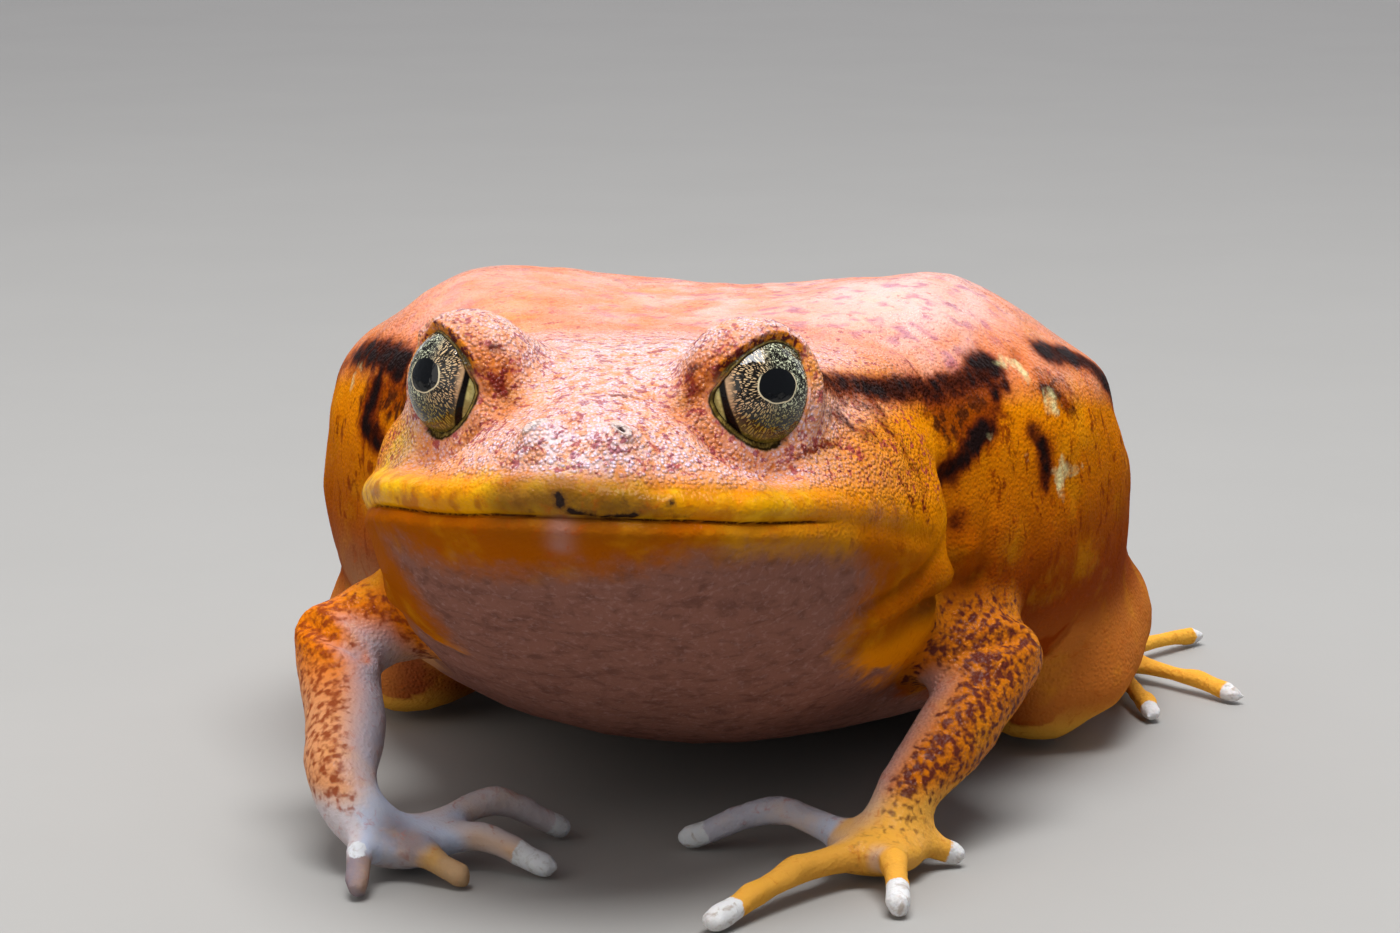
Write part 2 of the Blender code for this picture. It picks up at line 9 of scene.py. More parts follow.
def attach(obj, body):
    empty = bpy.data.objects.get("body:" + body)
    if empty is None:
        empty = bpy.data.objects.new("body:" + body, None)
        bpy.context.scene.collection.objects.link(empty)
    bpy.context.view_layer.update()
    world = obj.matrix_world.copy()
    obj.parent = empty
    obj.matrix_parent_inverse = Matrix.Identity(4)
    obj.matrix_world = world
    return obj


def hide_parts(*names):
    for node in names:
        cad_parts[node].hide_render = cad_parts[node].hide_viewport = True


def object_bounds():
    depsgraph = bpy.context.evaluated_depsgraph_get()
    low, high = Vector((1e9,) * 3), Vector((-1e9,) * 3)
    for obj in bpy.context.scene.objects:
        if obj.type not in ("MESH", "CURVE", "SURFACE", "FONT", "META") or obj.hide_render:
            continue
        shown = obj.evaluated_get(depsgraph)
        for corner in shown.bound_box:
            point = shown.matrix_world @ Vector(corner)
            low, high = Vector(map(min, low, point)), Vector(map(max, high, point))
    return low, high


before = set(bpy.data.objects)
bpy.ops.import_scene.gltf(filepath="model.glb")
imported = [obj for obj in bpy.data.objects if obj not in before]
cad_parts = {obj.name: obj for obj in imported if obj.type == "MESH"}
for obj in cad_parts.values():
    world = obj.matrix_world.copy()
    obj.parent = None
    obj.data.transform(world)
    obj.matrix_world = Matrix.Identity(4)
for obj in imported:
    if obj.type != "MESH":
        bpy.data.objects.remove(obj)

solid_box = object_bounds()

# Skin, its shape. One thin moist hide covers head, body and limbs without a seam. It is laid over the solid
# forms of the animal, and the lids, lips, nostrils and folds are worked into it. Sizes are in millimetres
# from the floor under the front of the upper lip, the animal facing -Y with its left side at +X.
LIP_PLACE = Vector((-0.0015242, -0.0458321, 0))
to_metres = Matrix.Translation(LIP_PLACE) @ Matrix.Scale(0.001, 4)
hide_face = 0.6
joint_overlap = 0.2
eye_middle = Vector((9.05, 12.5, 33.1))
eye_radius = 3.9
lid_radius = eye_radius + 0.2
socket_lining = eye_radius + 0.5
lid_dome = 4.76
gaze_turn = {1: 38.4, -1: -37.6}
gaze_rise = 14.7
right_eye_less = 8
nostril_place = (2.72, 2.7, 32.5)


def bump(value, centre, width):
    return np.exp(-(((value - centre) / width) ** 2))


def ramp(value, start, end):
    t = np.clip((value - start) / (end - start), 0, 1)
    return t * t * (3 - 2 * t)


def fall(value, start, end):
    return 1 - ramp(value, start, end)


def along(value, stations):
    """Reads a curve given by its stations."""
    return np.interp(value, [s[0] for s in stations], [s[1] for s in stations])


def near_line(at, points):
    """Distance of each point from a line of straight runs, or from a single point."""
    points = [np.array(p, float) for p in points]
    nearest = np.linalg.norm(at - points[0], axis=1)
    for a, b in zip(points, points[1:]):
        share = np.clip((at - a) @ (b - a) / ((b - a) @ (b - a)), 0, 1)
        nearest = np.minimum(nearest, np.linalg.norm(at - a - share[:, None] * (b - a), axis=1))
    return nearest


def dab(at, points, width):
    """A soft patch along a line of points, which fades over this width."""
    return bump(near_line(at, points), 0, width)


def to_one_side(at):
    """The points, those of the right side mirrored to the left."""
    return at * np.where(at[:, :1] < 0, (-1, 1, 1), (1, 1, 1))


def points_of(mesh):
    at = np.empty(3 * len(mesh.vertices), np.float32)
    mesh.vertices.foreach_get("co", at)
    return at.reshape(-1, 3).astype(float)


def outward(mesh):
    out = np.empty(3 * len(mesh.vertices), np.float32)
    mesh.vertex_normals.foreach_get("vector", out)
    return out.reshape(-1, 3).astype(float)


def set_points(mesh, at):
    mesh.vertices.foreach_set("co", at.astype(np.float32).ravel())
    mesh.update()


def relax(mesh, weight, passes):
    """Draws each point towards the middle of its neighbours, each by its own weight."""
    at = points_of(mesh)
    ends = np.empty(2 * len(mesh.edges), np.int32)
    mesh.edges.foreach_get("vertices", ends)
    a, b = ends.reshape(-1, 2).T
    count = np.bincount(ends, minlength=len(at))
    for _ in range(passes):
        for axis in range(3):
            value = at[:, axis]
            total = np.bincount(a, value[b], len(at)) + np.bincount(b, value[a], len(at))
            at[:, axis] = value + weight * (total / count - value)
    set_points(mesh, at)


def mesh_of(bm, name):
    mesh = bpy.data.meshes.new(name)
    bm.to_mesh(mesh)
    bm.free()
    return mesh


def divide(mesh, chosen):
    """Halves the faces' sides where both ends are chosen."""
    bm = bmesh.new()
    bm.from_mesh(mesh)
    edges = [e for e in bm.edges if chosen[e.verts[0].index] and chosen[e.verts[1].index]]
    bmesh.ops.subdivide_edges(bm, edges=edges, cuts=1, use_grid_fill=True, use_single_edge=True)
    bm.to_mesh(mesh)
    bm.free()


def lumps(at, size):
    """Slow irregular waves of about this size, from -1 to 1."""
    return np.array([noise.noise(Vector(p) / size) for p in at])


def eye_frame(side):
    """Middle of the eye and the directions to the front corner, up and out along the gaze."""
    turn, rise = math.radians(gaze_turn[side]), math.radians(gaze_rise)
    gaze = Vector((math.sin(turn) * math.cos(rise), -math.cos(turn) * math.cos(rise), math.sin(rise)))
    up = (Vector((0, 0, 1)) - gaze * gaze.z).normalized()
    front = gaze.cross(up)
    if front.x * side > 0:
        front = -front
    return Vector((side * eye_middle.x, eye_middle.y, eye_middle.z)), front, up, gaze


# The opening between the lids: how far it reaches from the gaze, in degrees, at each angle round the gaze
# from the front corner (0) over the brow (90). At its front corner the right eye is open that much less.
LID_OPENING = (
    (-180, 41), (-160, 41), (-141, 45), (-125, 53), (-111, 58), (-98, 61), (-87, 62), (-72, 61), (-59, 60),
    (-45, 60), (-30, 62), (-19, 64), (-8, 65), (0, 62), (8, 56), (19, 49), (39, 42), (63, 39.5), (83, 41),
    (100, 45), (117, 49), (131, 50), (145, 48), (160, 44), (180, 41),
)


def seen_from_eye(at, side):
    """Distance from the middle of the eye, degrees round the gaze, and millimetres past the lid's edge."""
    middle, front, up, gaze = eye_frame(side)
    local = (at - np.array(middle)) @ np.array([front, up, gaze]).T
    distance = np.linalg.norm(local, axis=1)
    aside = np.degrees(np.arccos(np.clip(local[:, 2] / distance, -1, 1)))
    round_gaze = np.degrees(np.arctan2(local[:, 1], local[:, 0]))
    reach = along(round_gaze, LID_OPENING) - (right_eye_less * bump(round_gaze, -5, 32) if side < 0 else 0)
    past = np.radians(aside - reach) * lid_radius
    return distance, round_gaze, past


def under_brow(round_gaze):
    return ramp(round_gaze, 2, 26) * fall(round_gaze, 138, 160)


def brow_start(round_gaze):
    """Where the brow's ridge rises past the lid's edge."""
    return 0.2 + 0.28 * bump(round_gaze, 18, 22)


# The line of the mouth falls away behind the lip, and wanders a little from side to side.
MOUTH_WANDER = (
    (-30, 0.1), (-14.5, 0), (-10.9, -0.28), (-9, -0.36), (-6.8, -0.34), (-4.8, -0.18), (0, -0.15),
    (3, -0.18), (7, -0.21), (10, -0.3), (12, -0.22), (15, 0.05), (30, 0.15),
)


def over_mouth(at):
    """Height of each point above the line of the mouth."""
    return at[:, 2] - (27.4 - 0.15 * at[:, 1] - 0.0045 * at[:, 1] ** 2) - along(at[:, 0], MOUTH_WANDER)


# The solid forms are swollen a little, so that neighbours join. Balls line the eye sockets and fill the
# groins; each of these is given by its middle and radius.
GROIN_BALLS = ((21.2, 51.5, 12, 6.2), (20, 60, 12.5, 7))

forms = bmesh.new()
for name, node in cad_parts.items():
    if name.startswith("eye"):
        continue
    form = bmesh.new()
    form.from_mesh(node.data)
    bmesh.ops.transform(form, matrix=to_metres.inverted(), verts=form.verts)
    bmesh.ops.remove_doubles(form, verts=form.verts, dist=0.001)
    form.normal_update()
    for v in form.verts:
        v.co += v.normal * joint_overlap
    swollen = mesh_of(form, "form")
    forms.from_mesh(swollen)
    bpy.data.meshes.remove(swollen)
balls = []
for side in (1, -1):
    balls.append((eye_frame(side)[0], socket_lining))
    balls += [(Vector((side * x, y, z)), radius) for x, y, z, radius in GROIN_BALLS]
round_form = bmesh.new()
bmesh.ops.create_uvsphere(round_form, u_segments=40, v_segments=24, radius=1)
for middle, radius in balls:
    ball = bpy.data.meshes.new("ball")
    round_form.to_mesh(ball)
    ball.transform(Matrix.Translation(middle) @ Matrix.Scale(radius, 4))
    forms.from_mesh(ball)
    bpy.data.meshes.remove(ball)
round_form.free()
hide = mesh_of(forms, "skin")


def new_object(name, data):
    """An object in the scene that shows this mesh, light or camera."""
    obj = bpy.data.objects.new(name, data)
    bpy.context.scene.collection.objects.link(obj)
    return obj


def settle(obj):
    """Replaces the object's mesh by what its modifiers make of it."""
    shown = obj.evaluated_get(bpy.context.evaluated_depsgraph_get())
    mesh = bpy.data.meshes.new_from_object(shown)
    obj.modifiers.clear()
    obj.data = mesh
    return mesh


skin = new_object("skin", hide)
remesh = skin.modifiers.new("One hide", "REMESH")
remesh.mode = "VOXEL"
remesh.voxel_size = hide_face
hide = settle(skin)

# Only the outer hide is kept, and it goes back to the size of the forms.
bm = bmesh.new()
bm.from_mesh(hide)
bm.verts.ensure_lookup_table()
seen = set()
islands = []
for start in bm.verts:
    if start in seen:
        continue
    island = [start]
    seen.add(start)
    for v in island:
        for edge in v.link_edges:
            other = edge.other_vert(v)
            if other not in seen:
                seen.add(other)
                island.append(other)
    islands.append(island)
islands.sort(key=len)
for island in islands[:-1]:
    bmesh.ops.delete(bm, geom=island, context="VERTS")
bm.to_mesh(hide)
bm.free()
at = points_of(hide)
at -= outward(hide) * joint_overlap
set_points(hide, at)

# It is evened a little all over, and more on the trunk, in the groins, near the floor and at the neck. Then
# it is drawn in behind the cheeks, and filled out at the neck and over the back's two shoulders.
x, y, z = at.T
side_x = np.abs(x)
neck_top = ramp(z, 24, 27) * ramp(side_x, 11, 14)
EVENED = (
    (0.5, 4),
    (0.5 * ramp(y, 24, 34) * ramp(z, 5, 9), 26),
    (0.5 * ramp(side_x, 16, 19) * ramp(y, 42, 48) * ramp(z, 4, 7) * fall(z, 15, 19), 40),
    (0.35 * fall(z, 3, 5), 2),
    (0.5 * bump(y, 26, 4) * neck_top, 25),
)
for weight, passes in EVENED:
    relax(hide, weight, passes)
at = points_of(hide)
fuller = neck_top * (0.7 * bump(y, 28, 2.6) - 0.4 * bump(y, 22.5, 2.5)) * fall(z, 32, 34)
fuller += 1.1 * bump(y, 50, 12) * ramp(side_x, 12, 18) * ramp(z, 22, 28)
set_points(hide, at + outward(hide) * fuller[:, None])

# Coarser faces where the hide is plain, behind and below, and finer ones in up to three steps for the
# digits, the lips, the nostrils and the lids.
plain_share = 0.62
at = points_of(hide)
x, y, z = at.T
plain = ramp(y, 58, 70) * ramp(z, 3, 5) + ramp(-outward(hide)[:, 2], 0.55, 0.8) * ramp(y, 14, 20)
group = skin.vertex_groups.new(name="plain")
for index in np.flatnonzero(plain > 0.01):
    group.add([int(index)], min(1.0, float(plain[index])), "REPLACE")
fewer = skin.modifiers.new("Plain parts", "DECIMATE")
fewer.ratio = plain_share
fewer.vertex_group = "plain"
hide = settle(skin)
skin.vertex_groups.clear()


def eye_zone(at, reach, inner, outer):
    """Points near an eye, within a band along the lids' edge."""
    zone = np.zeros(len(at), bool)
    for side in (1, -1):
        distance, round_gaze, past = seen_from_eye(at, side)
        zone |= (distance < reach) & (past > inner) & (past < outer)
    return zone


def nostril_reach(at):
    return np.linalg.norm(to_one_side(at) - nostril_place, axis=1)


def nostril_slit(at):
    """0 in the slit of a nostril, 1 at its edge and 2 on its rim. The slit runs outward and down."""
    half_length, half_width, depth = 0.38, 0.19, 0.6
    down, face = Vector((0.70, -0.40, -0.59)).normalized(), Vector((0.2, -0.7, 0.68)).normalized()
    across = face.cross(down).normalized()
    hole = to_one_side(at) - nostril_place
    slit = np.hypot(hole @ np.array(down) / half_length, hole @ np.array(across) / half_width)
    return np.hypot(slit, np.clip(np.abs(hole @ np.array(face)) - depth, 0, 9) * 4)


# Below each eye the cheek falls away from the lid, so that the eyeball bulges over it: the least distance
# past the lid's edge at which the hide may lie, for each distance from the middle of the eye.
cheek_end = 8.2
CHEEK_FALL = ((4.45, -9.0), (4.5, -2.0), (4.75, 0.25), (5.3, 0.55), (6.0, 0.7), (7.0, 0.2), (cheek_end, -1.0))
at = points_of(hide)
fallen = np.zeros(len(at))
for side in (1, -1):
    distance, round_gaze, past = seen_from_eye(at, side)
    middle, gaze = np.array(eye_frame(side)[0]), np.array(eye_frame(side)[3])
    turn = (1 - under_brow(round_gaze)) * np.clip(along(distance, CHEEK_FALL) - past, 0, 2)
    turn *= distance < cheek_end
    fallen += turn
    turn /= lid_radius
    ahead = (at - middle) @ gaze
    aside = at - middle - np.outer(ahead, gaze)
    across = np.linalg.norm(aside, axis=1)
    aside *= ((across * np.cos(turn) + ahead * np.sin(turn)) / across)[:, None]
    at = middle + aside + np.outer(ahead * np.cos(turn) - across * np.sin(turn), gaze)
set_points(hide, at)
relax(hide, 0.4 * (fallen > 0.03), 2)
at = points_of(hide)
x, y, z = at.T
above = over_mouth(at)
digits = (z < 3.4) & (((y < 28) & (np.abs(x) > 2.5)) | (np.abs(x) > 23.5))
divide(hide, ((y < 24) & (np.abs(above) < 2.4)) | eye_zone(at, 7.6, -2, 4) | ((y < 8) & (z > 27)) | digits)
relax(hide, 0.4, 1)
at = points_of(hide)
lip_line = (at[:, 1] < 25) & (np.abs(over_mouth(at)) < 0.7)
divide(hide, eye_zone(at, 6.4, -0.8, 1.5) | (nostril_reach(at) < 1.9) | lip_line)
relax(hide, 0.3, 1)
at = points_of(hide)
divide(hide, eye_zone(at, 5.6, -0.3, 0.9) | (nostril_reach(at) < 1.1))

# Between the lids the hide lies just behind the eyeball's face, out of sight. The lower lid is a thin double
# rim that hugs the ball, and the brow a thick fold that stands over it.
behind_face = 0.35
rear_lid_drop = 0.5
at = points_of(hide)
for side in (1, -1):
    distance, round_gaze, past = seen_from_eye(at, side)
    brow = under_brow(round_gaze)
    start = brow_start(round_gaze)
    low_lid = eye_radius + 0.07 + 0.1 * bump(past, 0.1, 0.1) - 0.06 * bump(past, 0.26, 0.06)
    low_lid += 0.13 * bump(past, 0.42, 0.13) + 0.2 * ramp(past, 0.7, 1.6)
    high_lid = eye_radius + 0.12 + 0.46 * ramp(past, start, start + 0.14)
    high_lid += 0.1 * bump(past, start + 0.25, 0.14)
    lid = low_lid + brow * (high_lid - low_lid)
    target = eye_radius - behind_face + ramp(past, -0.14, 0.04) * (lid - eye_radius + behind_face)
    outside = ramp(past, -0.1, 0.1) * (1 - brow)
    hold = fall(past, 0.3 + 0.55 * brow, 1.1 + 1.1 * brow)
    hold *= fall(distance, 5.1 - 0.7 * outside, 5.7 - 0.4 * outside)
    new = distance + hold * (target - distance)
    if side < 0:
        # The rear of the right eye's lid dips under the ball's face, so the ball itself is the outline.
        rear = ramp(-np.cos(np.radians(round_gaze)), 0.25, 0.8)
        new -= rear_lid_drop * rear * fall(distance, 5.0, 6.6)
    dome = lid_dome + 0.05 * np.sin(np.radians(round_gaze) * 7) * bump(past, start + 0.35, 0.3)
    new += brow * ramp(past, start + 0.1, start + 0.8) * fall(past, 6, 8) * np.clip(dome - new, 0, 2)
    middle = np.array(eye_frame(side)[0])
    at = middle + (at - middle) * (new / distance)[:, None]
set_points(hide, at)
relax(hide, 0.5 * eye_zone(at, 7.5, 0.9, 8), 2)

# Lips, the line of the mouth, nostrils, the roll over the shoulder, the folds of neck, throat, flank and
# elbows, and the knuckles. Each fold of flank and throat is given by its place and depth.
lip_swell, lip_groove, low_lip_swell = 0.32, 0.14, 0.22
mouth_depth = 0.42
nostril_swell, nostril_depth = 0.16, 0.7
neck_swell, neck_fold = 0.15, 0.45
roll_swell, roll_crease = 0.75, 0.55
elbow_swell, elbow_crease = 0.3, 0.4
knuckle_swell = 0.24
SHOULDER_ROLL = (
    (21.1, 31, 19.4), (19.9, 27.9, 18.8), (19, 22.4, 18.6), (17.6, 18.8, 18), (16.3, 17.1, 17.5),
)
ROLL_CREASES = (
    ((20, 25.5, 21.2), (19.2, 22, 19.9), (18.5, 20.4, 19.5), (16.7, 16.8, 18.7), (15.9, 15.5, 18.5)),
    ((22, 32.5, 17.6), (21.4, 31.5, 17.1), (19.9, 27.7, 17.3), (18.1, 20.3, 17), (16, 16.8, 16.4)),
)
ELBOW_CREASES = (
    ((19.3, 29.9, 11.5), (21.3, 29.9, 12.4), (23.2, 30.7, 13.2), (25.1, 32, 13.5)),
    ((-23.2, 24.5, 14.1), (-21.1, 22.8, 13.4), (-19, 22.5, 12.4)),
)
KNUCKLES = (
    (9, 22.6, 3.6), (6.2, 22.6, 2.4), (12.2, 11.8, 2.9), (10, 7.6, 2.2), (18.3, 14, 2.9), (15.6, 16.4, 3),
    (-9.4, 20.3, 4), (-7.6, 22, 2.9), (-9.2, 15.4, 3), (-7, 14.8, 2.2), (-12.4, 12, 2.7),
    (-16.3, 9.9, 2.9), (31.2, 63.8, 1.4), (34.6, 71.2, 1.6),
)
LIP_TOP = (
    (-13, 2.4), (-9.7, 1.9), (-6, 1.9), (-3.3, 2.6), (-0.7, 2.7), (1.8, 2.2), (4.8, 1.65), (14, 1.65),
    (16, 1.2),
)
FLANK_FOLDS = ((33.5, 0.3), (37.5, 0.22), (43, 0.2), (51, 0.16))
THROAT_FOLDS = ((20.5, 0.1), (17, 0.14), (13.5, 0.16), (10.5, 0.16), (8.6, 0.12))
at = points_of(hide)
out = outward(hide)
x, y, z = at.T
side_x = np.abs(x)
above = over_mouth(at)
shut = (1 - 0.8 * ramp(y, 9, 14)) * fall(x, 13.2, 15.6)
jaw = fall(y, 20, 25) * ramp(z, 17, 19) * (1 - 0.85 * ramp(x, 11.5, 15.0))
lip_top = along(x, LIP_TOP)
push = lip_swell * bump(above, 0.5 * lip_top, 0.42 * lip_top)
push += low_lip_swell * bump(above, -0.85, 0.55) - lip_groove * bump(above, lip_top + 0.35, 0.4)
push *= jaw
push -= fall(y, 20, 25) * shut * (mouth_depth * bump(above, 0, 0.11) + 0.1 * bump(above, -0.1, 0.4))
push += jaw * 0.1 * np.sin(x * 1.3 + 0.5) * bump(above, 0.9, 0.7)
slit = nostril_slit(at)
push += 0.12 * bump(nostril_reach(at), 0, 1.1)
push += nostril_swell * bump(slit, 2.0, 0.6) - nostril_depth * bump(slit, 0, 0.85)
fold_y = 29.0 - 0.16 * (z - 20)
neck = ramp(side_x, 13, 16) * ramp(z, 13, 17) * fall(z, 23.5, 27)
push += neck * (neck_swell * bump(y, fold_y - 3.0, 1.6) - neck_fold * bump(y, fold_y, 0.7))
flank = ramp(side_x, 16, 20) * ramp(z, 7, 11) * fall(z, 24, 29)
for station, depth in FLANK_FOLDS:
    wave = station + 0.8 * np.sin(z * 0.5 + station) - 0.12 * (z - 18)
    push -= flank * depth * bump(y, wave, 0.6)
throat_line = ramp(-out[:, 2], 0.1, 0.5) * (y < 30) * (side_x < 16)
for height, depth in THROAT_FOLDS:
    wave = height + 0.5 * np.sin(x * 0.35 + height) + 0.012 * x * x
    push -= throat_line * depth * bump(z, wave, 0.5)
mirrored = to_one_side(at)
push += roll_swell * dab(mirrored, SHOULDER_ROLL, 0.95)
for crease in ROLL_CREASES:
    push -= roll_crease * dab(mirrored, crease, 0.5)
for crease in ELBOW_CREASES:
    push += elbow_swell * bump(near_line(at, crease), 1.1, 0.6) - elbow_crease * dab(at, crease, 0.4)
for knuckle in KNUCKLES:
    push += knuckle_swell * dab(at, [knuckle], 1.2) * ramp(out[:, 2], -0.1, 0.5)
eyes_clear = ramp(np.min([seen_from_eye(at, side)[0] for side in (1, -1)], axis=0), 5, 6.5)
push += eyes_clear * ramp(z, 3, 6) * (0.22 * lumps(at, 5.0) + 0.09 * lumps(at, 1.9))
at += out * push[:, None]
inside_box = 0.01
low, high = (to_metres.inverted() @ corner for corner in solid_box)
at = np.clip(at, np.array(low) + inside_box, np.array(high) - inside_box)
set_points(hide, at)

# Skin, its colours. Orange above with pale pink patches that are partly painted sheen, wine-red and purple
# mottling, yellow lips and flanks, a mauve throat and belly, dark blotches along the side from the eye back,
# greyish inner hands and white tips, and painted shade low on the flanks and round the shoulders and arms.
# Broad tones lie on the hide itself. Each marking is kept as a depth in millimetres, and the finish frays it.
def paint(red, green, blue):
    """A colour named by its 8-bit values, as light."""
    share = np.array((red, green, blue)) / 255
    return np.where(share <= 0.04045, share / 12.92, ((share + 0.055) / 1.055) ** 2.4)


def strokes(at, lines):
    """How deep each point lies inside the nearest stroke."""
    return np.max([half - near_line(at, points) for half, points in lines], axis=0)


def beside(at, points, full, none):
    """1 up to the full distance from a line of points, and 0 from the other on."""
    return 1 - ramp(near_line(at, points), full, none)


back_orange, back_edge_orange, hump_sheen_pink = paint(220, 114, 44), paint(214, 112, 26), paint(238, 190, 182)
head_pink, snout_gloss_highlight = paint(224, 150, 92), paint(238, 212, 208)
flank_yellow, flank_brown_and_shade, low_flank_tan = paint(232, 134, 4), paint(138, 54, 8), paint(160, 84, 34)
right_side_sand = paint(206, 160, 116)
cheek_orange, chin_mauve = paint(222, 130, 4), paint(168, 128, 124)
before_eye_orange, behind_eye_orange = paint(200, 104, 10), paint(222, 132, 10)
brow_orange, eye_corner_cream = paint(202, 106, 16), paint(206, 180, 96)
roll_orange, roll_crease_shade, under_roll_shadow = paint(152, 72, 1), paint(96, 34, 2), paint(66, 30, 10)
armpit_shade = paint(112, 40, 1)
lip_yellow, lip_bright, lip_ochre = paint(226, 158, 2), paint(246, 190, 26), paint(168, 94, 6)
lip_orange, lip_shade, lip_corner_yellow = paint(198, 104, 2), paint(112, 70, 20), paint(216, 176, 20)
low_lip_orange, low_lip_yellow = paint(160, 80, 2), paint(204, 140, 26)
limb_orange, right_arm_orange, right_arm_pink_and_sheen = paint(190, 104, 14), paint(214, 112, 8), paint(228, 172, 132)
knee_orange, toe_yellow, hand_yellow = paint(192, 108, 42), paint(230, 166, 62), paint(218, 156, 62)
inner_grey, right_hand_blue = paint(176, 180, 196), paint(196, 206, 226)
right_tip_grey = paint(118, 104, 112)
right_finger_brown, right_finger_tan = paint(92, 66, 60), paint(170, 128, 66)

ARM_LINES = (
    ((13.5, 31.5, 15.5), (23.6, 33.6, 11.6), (18, 21.8, 4.6), (16.6, 18.6, 1.85)),
    ((-13.5, 30, 15.8), (-21.9, 26.4, 12.4), (-17.2, 13.6, 4), (-14.4, 14.8, 1.85)),
)
ARCHED_FINGERS = (
    ((7.6, 22.9, 2.6), (9.7, 22.3, 3.1), (12.3, 21.3, 2.8)),
    ((-7.9, 21.2, 2.6), (-9.9, 19.5, 3.4), (-12.2, 17.7, 2.9)),
)
BEFORE_EYE = ((5.9, 9.2, 34.6), (5.6, 8.7, 33.2), (5.6, 8, 31.8), (7.2, 8, 30.6))
BEHIND_EYE = (
    (12.5, 11.2, 35), (12.8, 13.6, 34.4), (13.4, 17, 33.8), (14.3, 20.6, 33.1), (16.4, 25.2, 32.2),
)
BELOW_ROLL = (
    (14.9, 17.2, 15.5), (16.1, 17.5, 16.6), (17.8, 20, 16.8), (19.2, 24.5, 17), (20.6, 28.6, 16.4),
)
at = points_of(hide)
out = outward(hide)
x, y, z = at.T
side_x = np.abs(x)
above = over_mouth(at)
mirrored = to_one_side(at)
arm_near = np.min([near_line(at, line) for line in ARM_LINES], axis=0)
on_arm = fall(arm_near, 3.8, 5.0) * fall(z, 15.0, 17.5)
on_arm *= np.clip(ramp(side_x, 12.5, 16) + (z < 5.5) * (y < 26) * (side_x > 2.8), 0, 1)
on_hand = np.maximum(fall(z, 4.2, 6.2) * on_arm, fall(z, 3.6, 4.4) * (side_x > 2.8)) * (y < 28)
for finger in ARCHED_FINGERS:
    on_hand = np.maximum(on_hand, beside(at, finger, 1.7, 2.1))
on_leg = ramp(side_x, 22.0, 25.0) * fall(z, 9, 12) * (y > 48)
on_foot = fall(z, 1.2, 4.4) * (y > 50) * ramp(side_x, 18, 22)
ridge = 32.4 - 0.1 * (y - 18) - 0.0028 * np.clip(y - 30, 0, 60) ** 2
top = ramp(z, ridge - 2.4, ridge + 0.4)
face_top = np.clip(ramp(z, 29.6, 31.4) + ramp(above, 2.3, 3.6) * bump(x, 0, 6.5), 0, 1)
hump = bump(np.hypot(side_x - 15.5, y - 38.5), 0, 7.5) * ramp(z, 32.4, 34.2)
before_eye = dab(mirrored, BEFORE_EYE, 1.6)
behind_eye = dab(mirrored, BEHIND_EYE, 1.8)

# Places round each eye: past the lid's edge, under the brow, and at the front of its ridge.
nearest_eye, past_lid = np.full(len(at), 99.0), np.full(len(at), 4.0)
brow_share, brow_edge, brow_front = 0.0, 0.0, 0.0
for side in (1, -1):
    distance, round_gaze, past = seen_from_eye(at, side)
    this = (distance < 6.5) & (x * side > 0)
    no_brow = 1 - under_brow(round_gaze)
    past = past + 0.45 * no_brow * ramp(-np.cos(np.radians(round_gaze)), -0.2, 0.6)
    past = past + no_brow * (0.7 * np.clip(distance - 4.12, 0, 9) + 5 * ramp(distance, 5.0, 5.6))
    nearest_eye = np.minimum(nearest_eye, distance)
    past_lid = np.where(this, past, past_lid)
    brow_share = np.where(this, under_brow(round_gaze), brow_share)
    brow_edge = np.where(this, brow_start(round_gaze), brow_edge)
    brow_front = np.where(this, bump(round_gaze, 20, 55), brow_front)
brow_front = brow_front * bump(past_lid - brow_edge, 0.6, 1.3)

# The yellow of the lip is torn at its upper edge, and at the mouth's left end the orange below fades softly.
torn_top = lip_top + 1.5 * lumps(at, 1.9) + 0.9 * lumps(at, 0.6)
lip = fall(above, torn_top - 0.8, torn_top + 1.0) * fall(y, 17, 24) * (1 - 0.8 * ramp(x, 11.5, 14.5))
upper_lip = lip * ramp(above, -0.15, 0.15)
lip_waves = lumps(at, 1.3) + 0.6 * lumps(at, 0.5)
soft_end = 0.15 + 2.6 * ramp(x, 10.5, 14.5)
low_lip = fall(above, -soft_end, soft_end) * fall(y, 19, 26) * ramp(z, 14, 17)

# The inner sides of arms and hands are grey, the left hand's inner finger too, and most of the right hand.
inward = np.clip(-np.sign(x) * out[:, 0] * 1.3, 0, 1) * on_arm
grey_finger = beside(at, ((3.4, 22.4, 0.9), (9.0, 22.6, 3.0), (12.5, 20.5, 2.6)), 1.5, 2.3)
right_hand = on_hand * (x < 0) * 0.62 * (1 - 0.8 * dab(at, ((-9.2, 13.6, 2.3), (-6.6, 13.2, 1.8)), 1.2))
greyed = np.clip(inward * (0.85 - 0.45 * (x > 0)) + right_hand + 0.9 * grey_finger, 0, 1)
right_arm = on_arm * (x < 0)

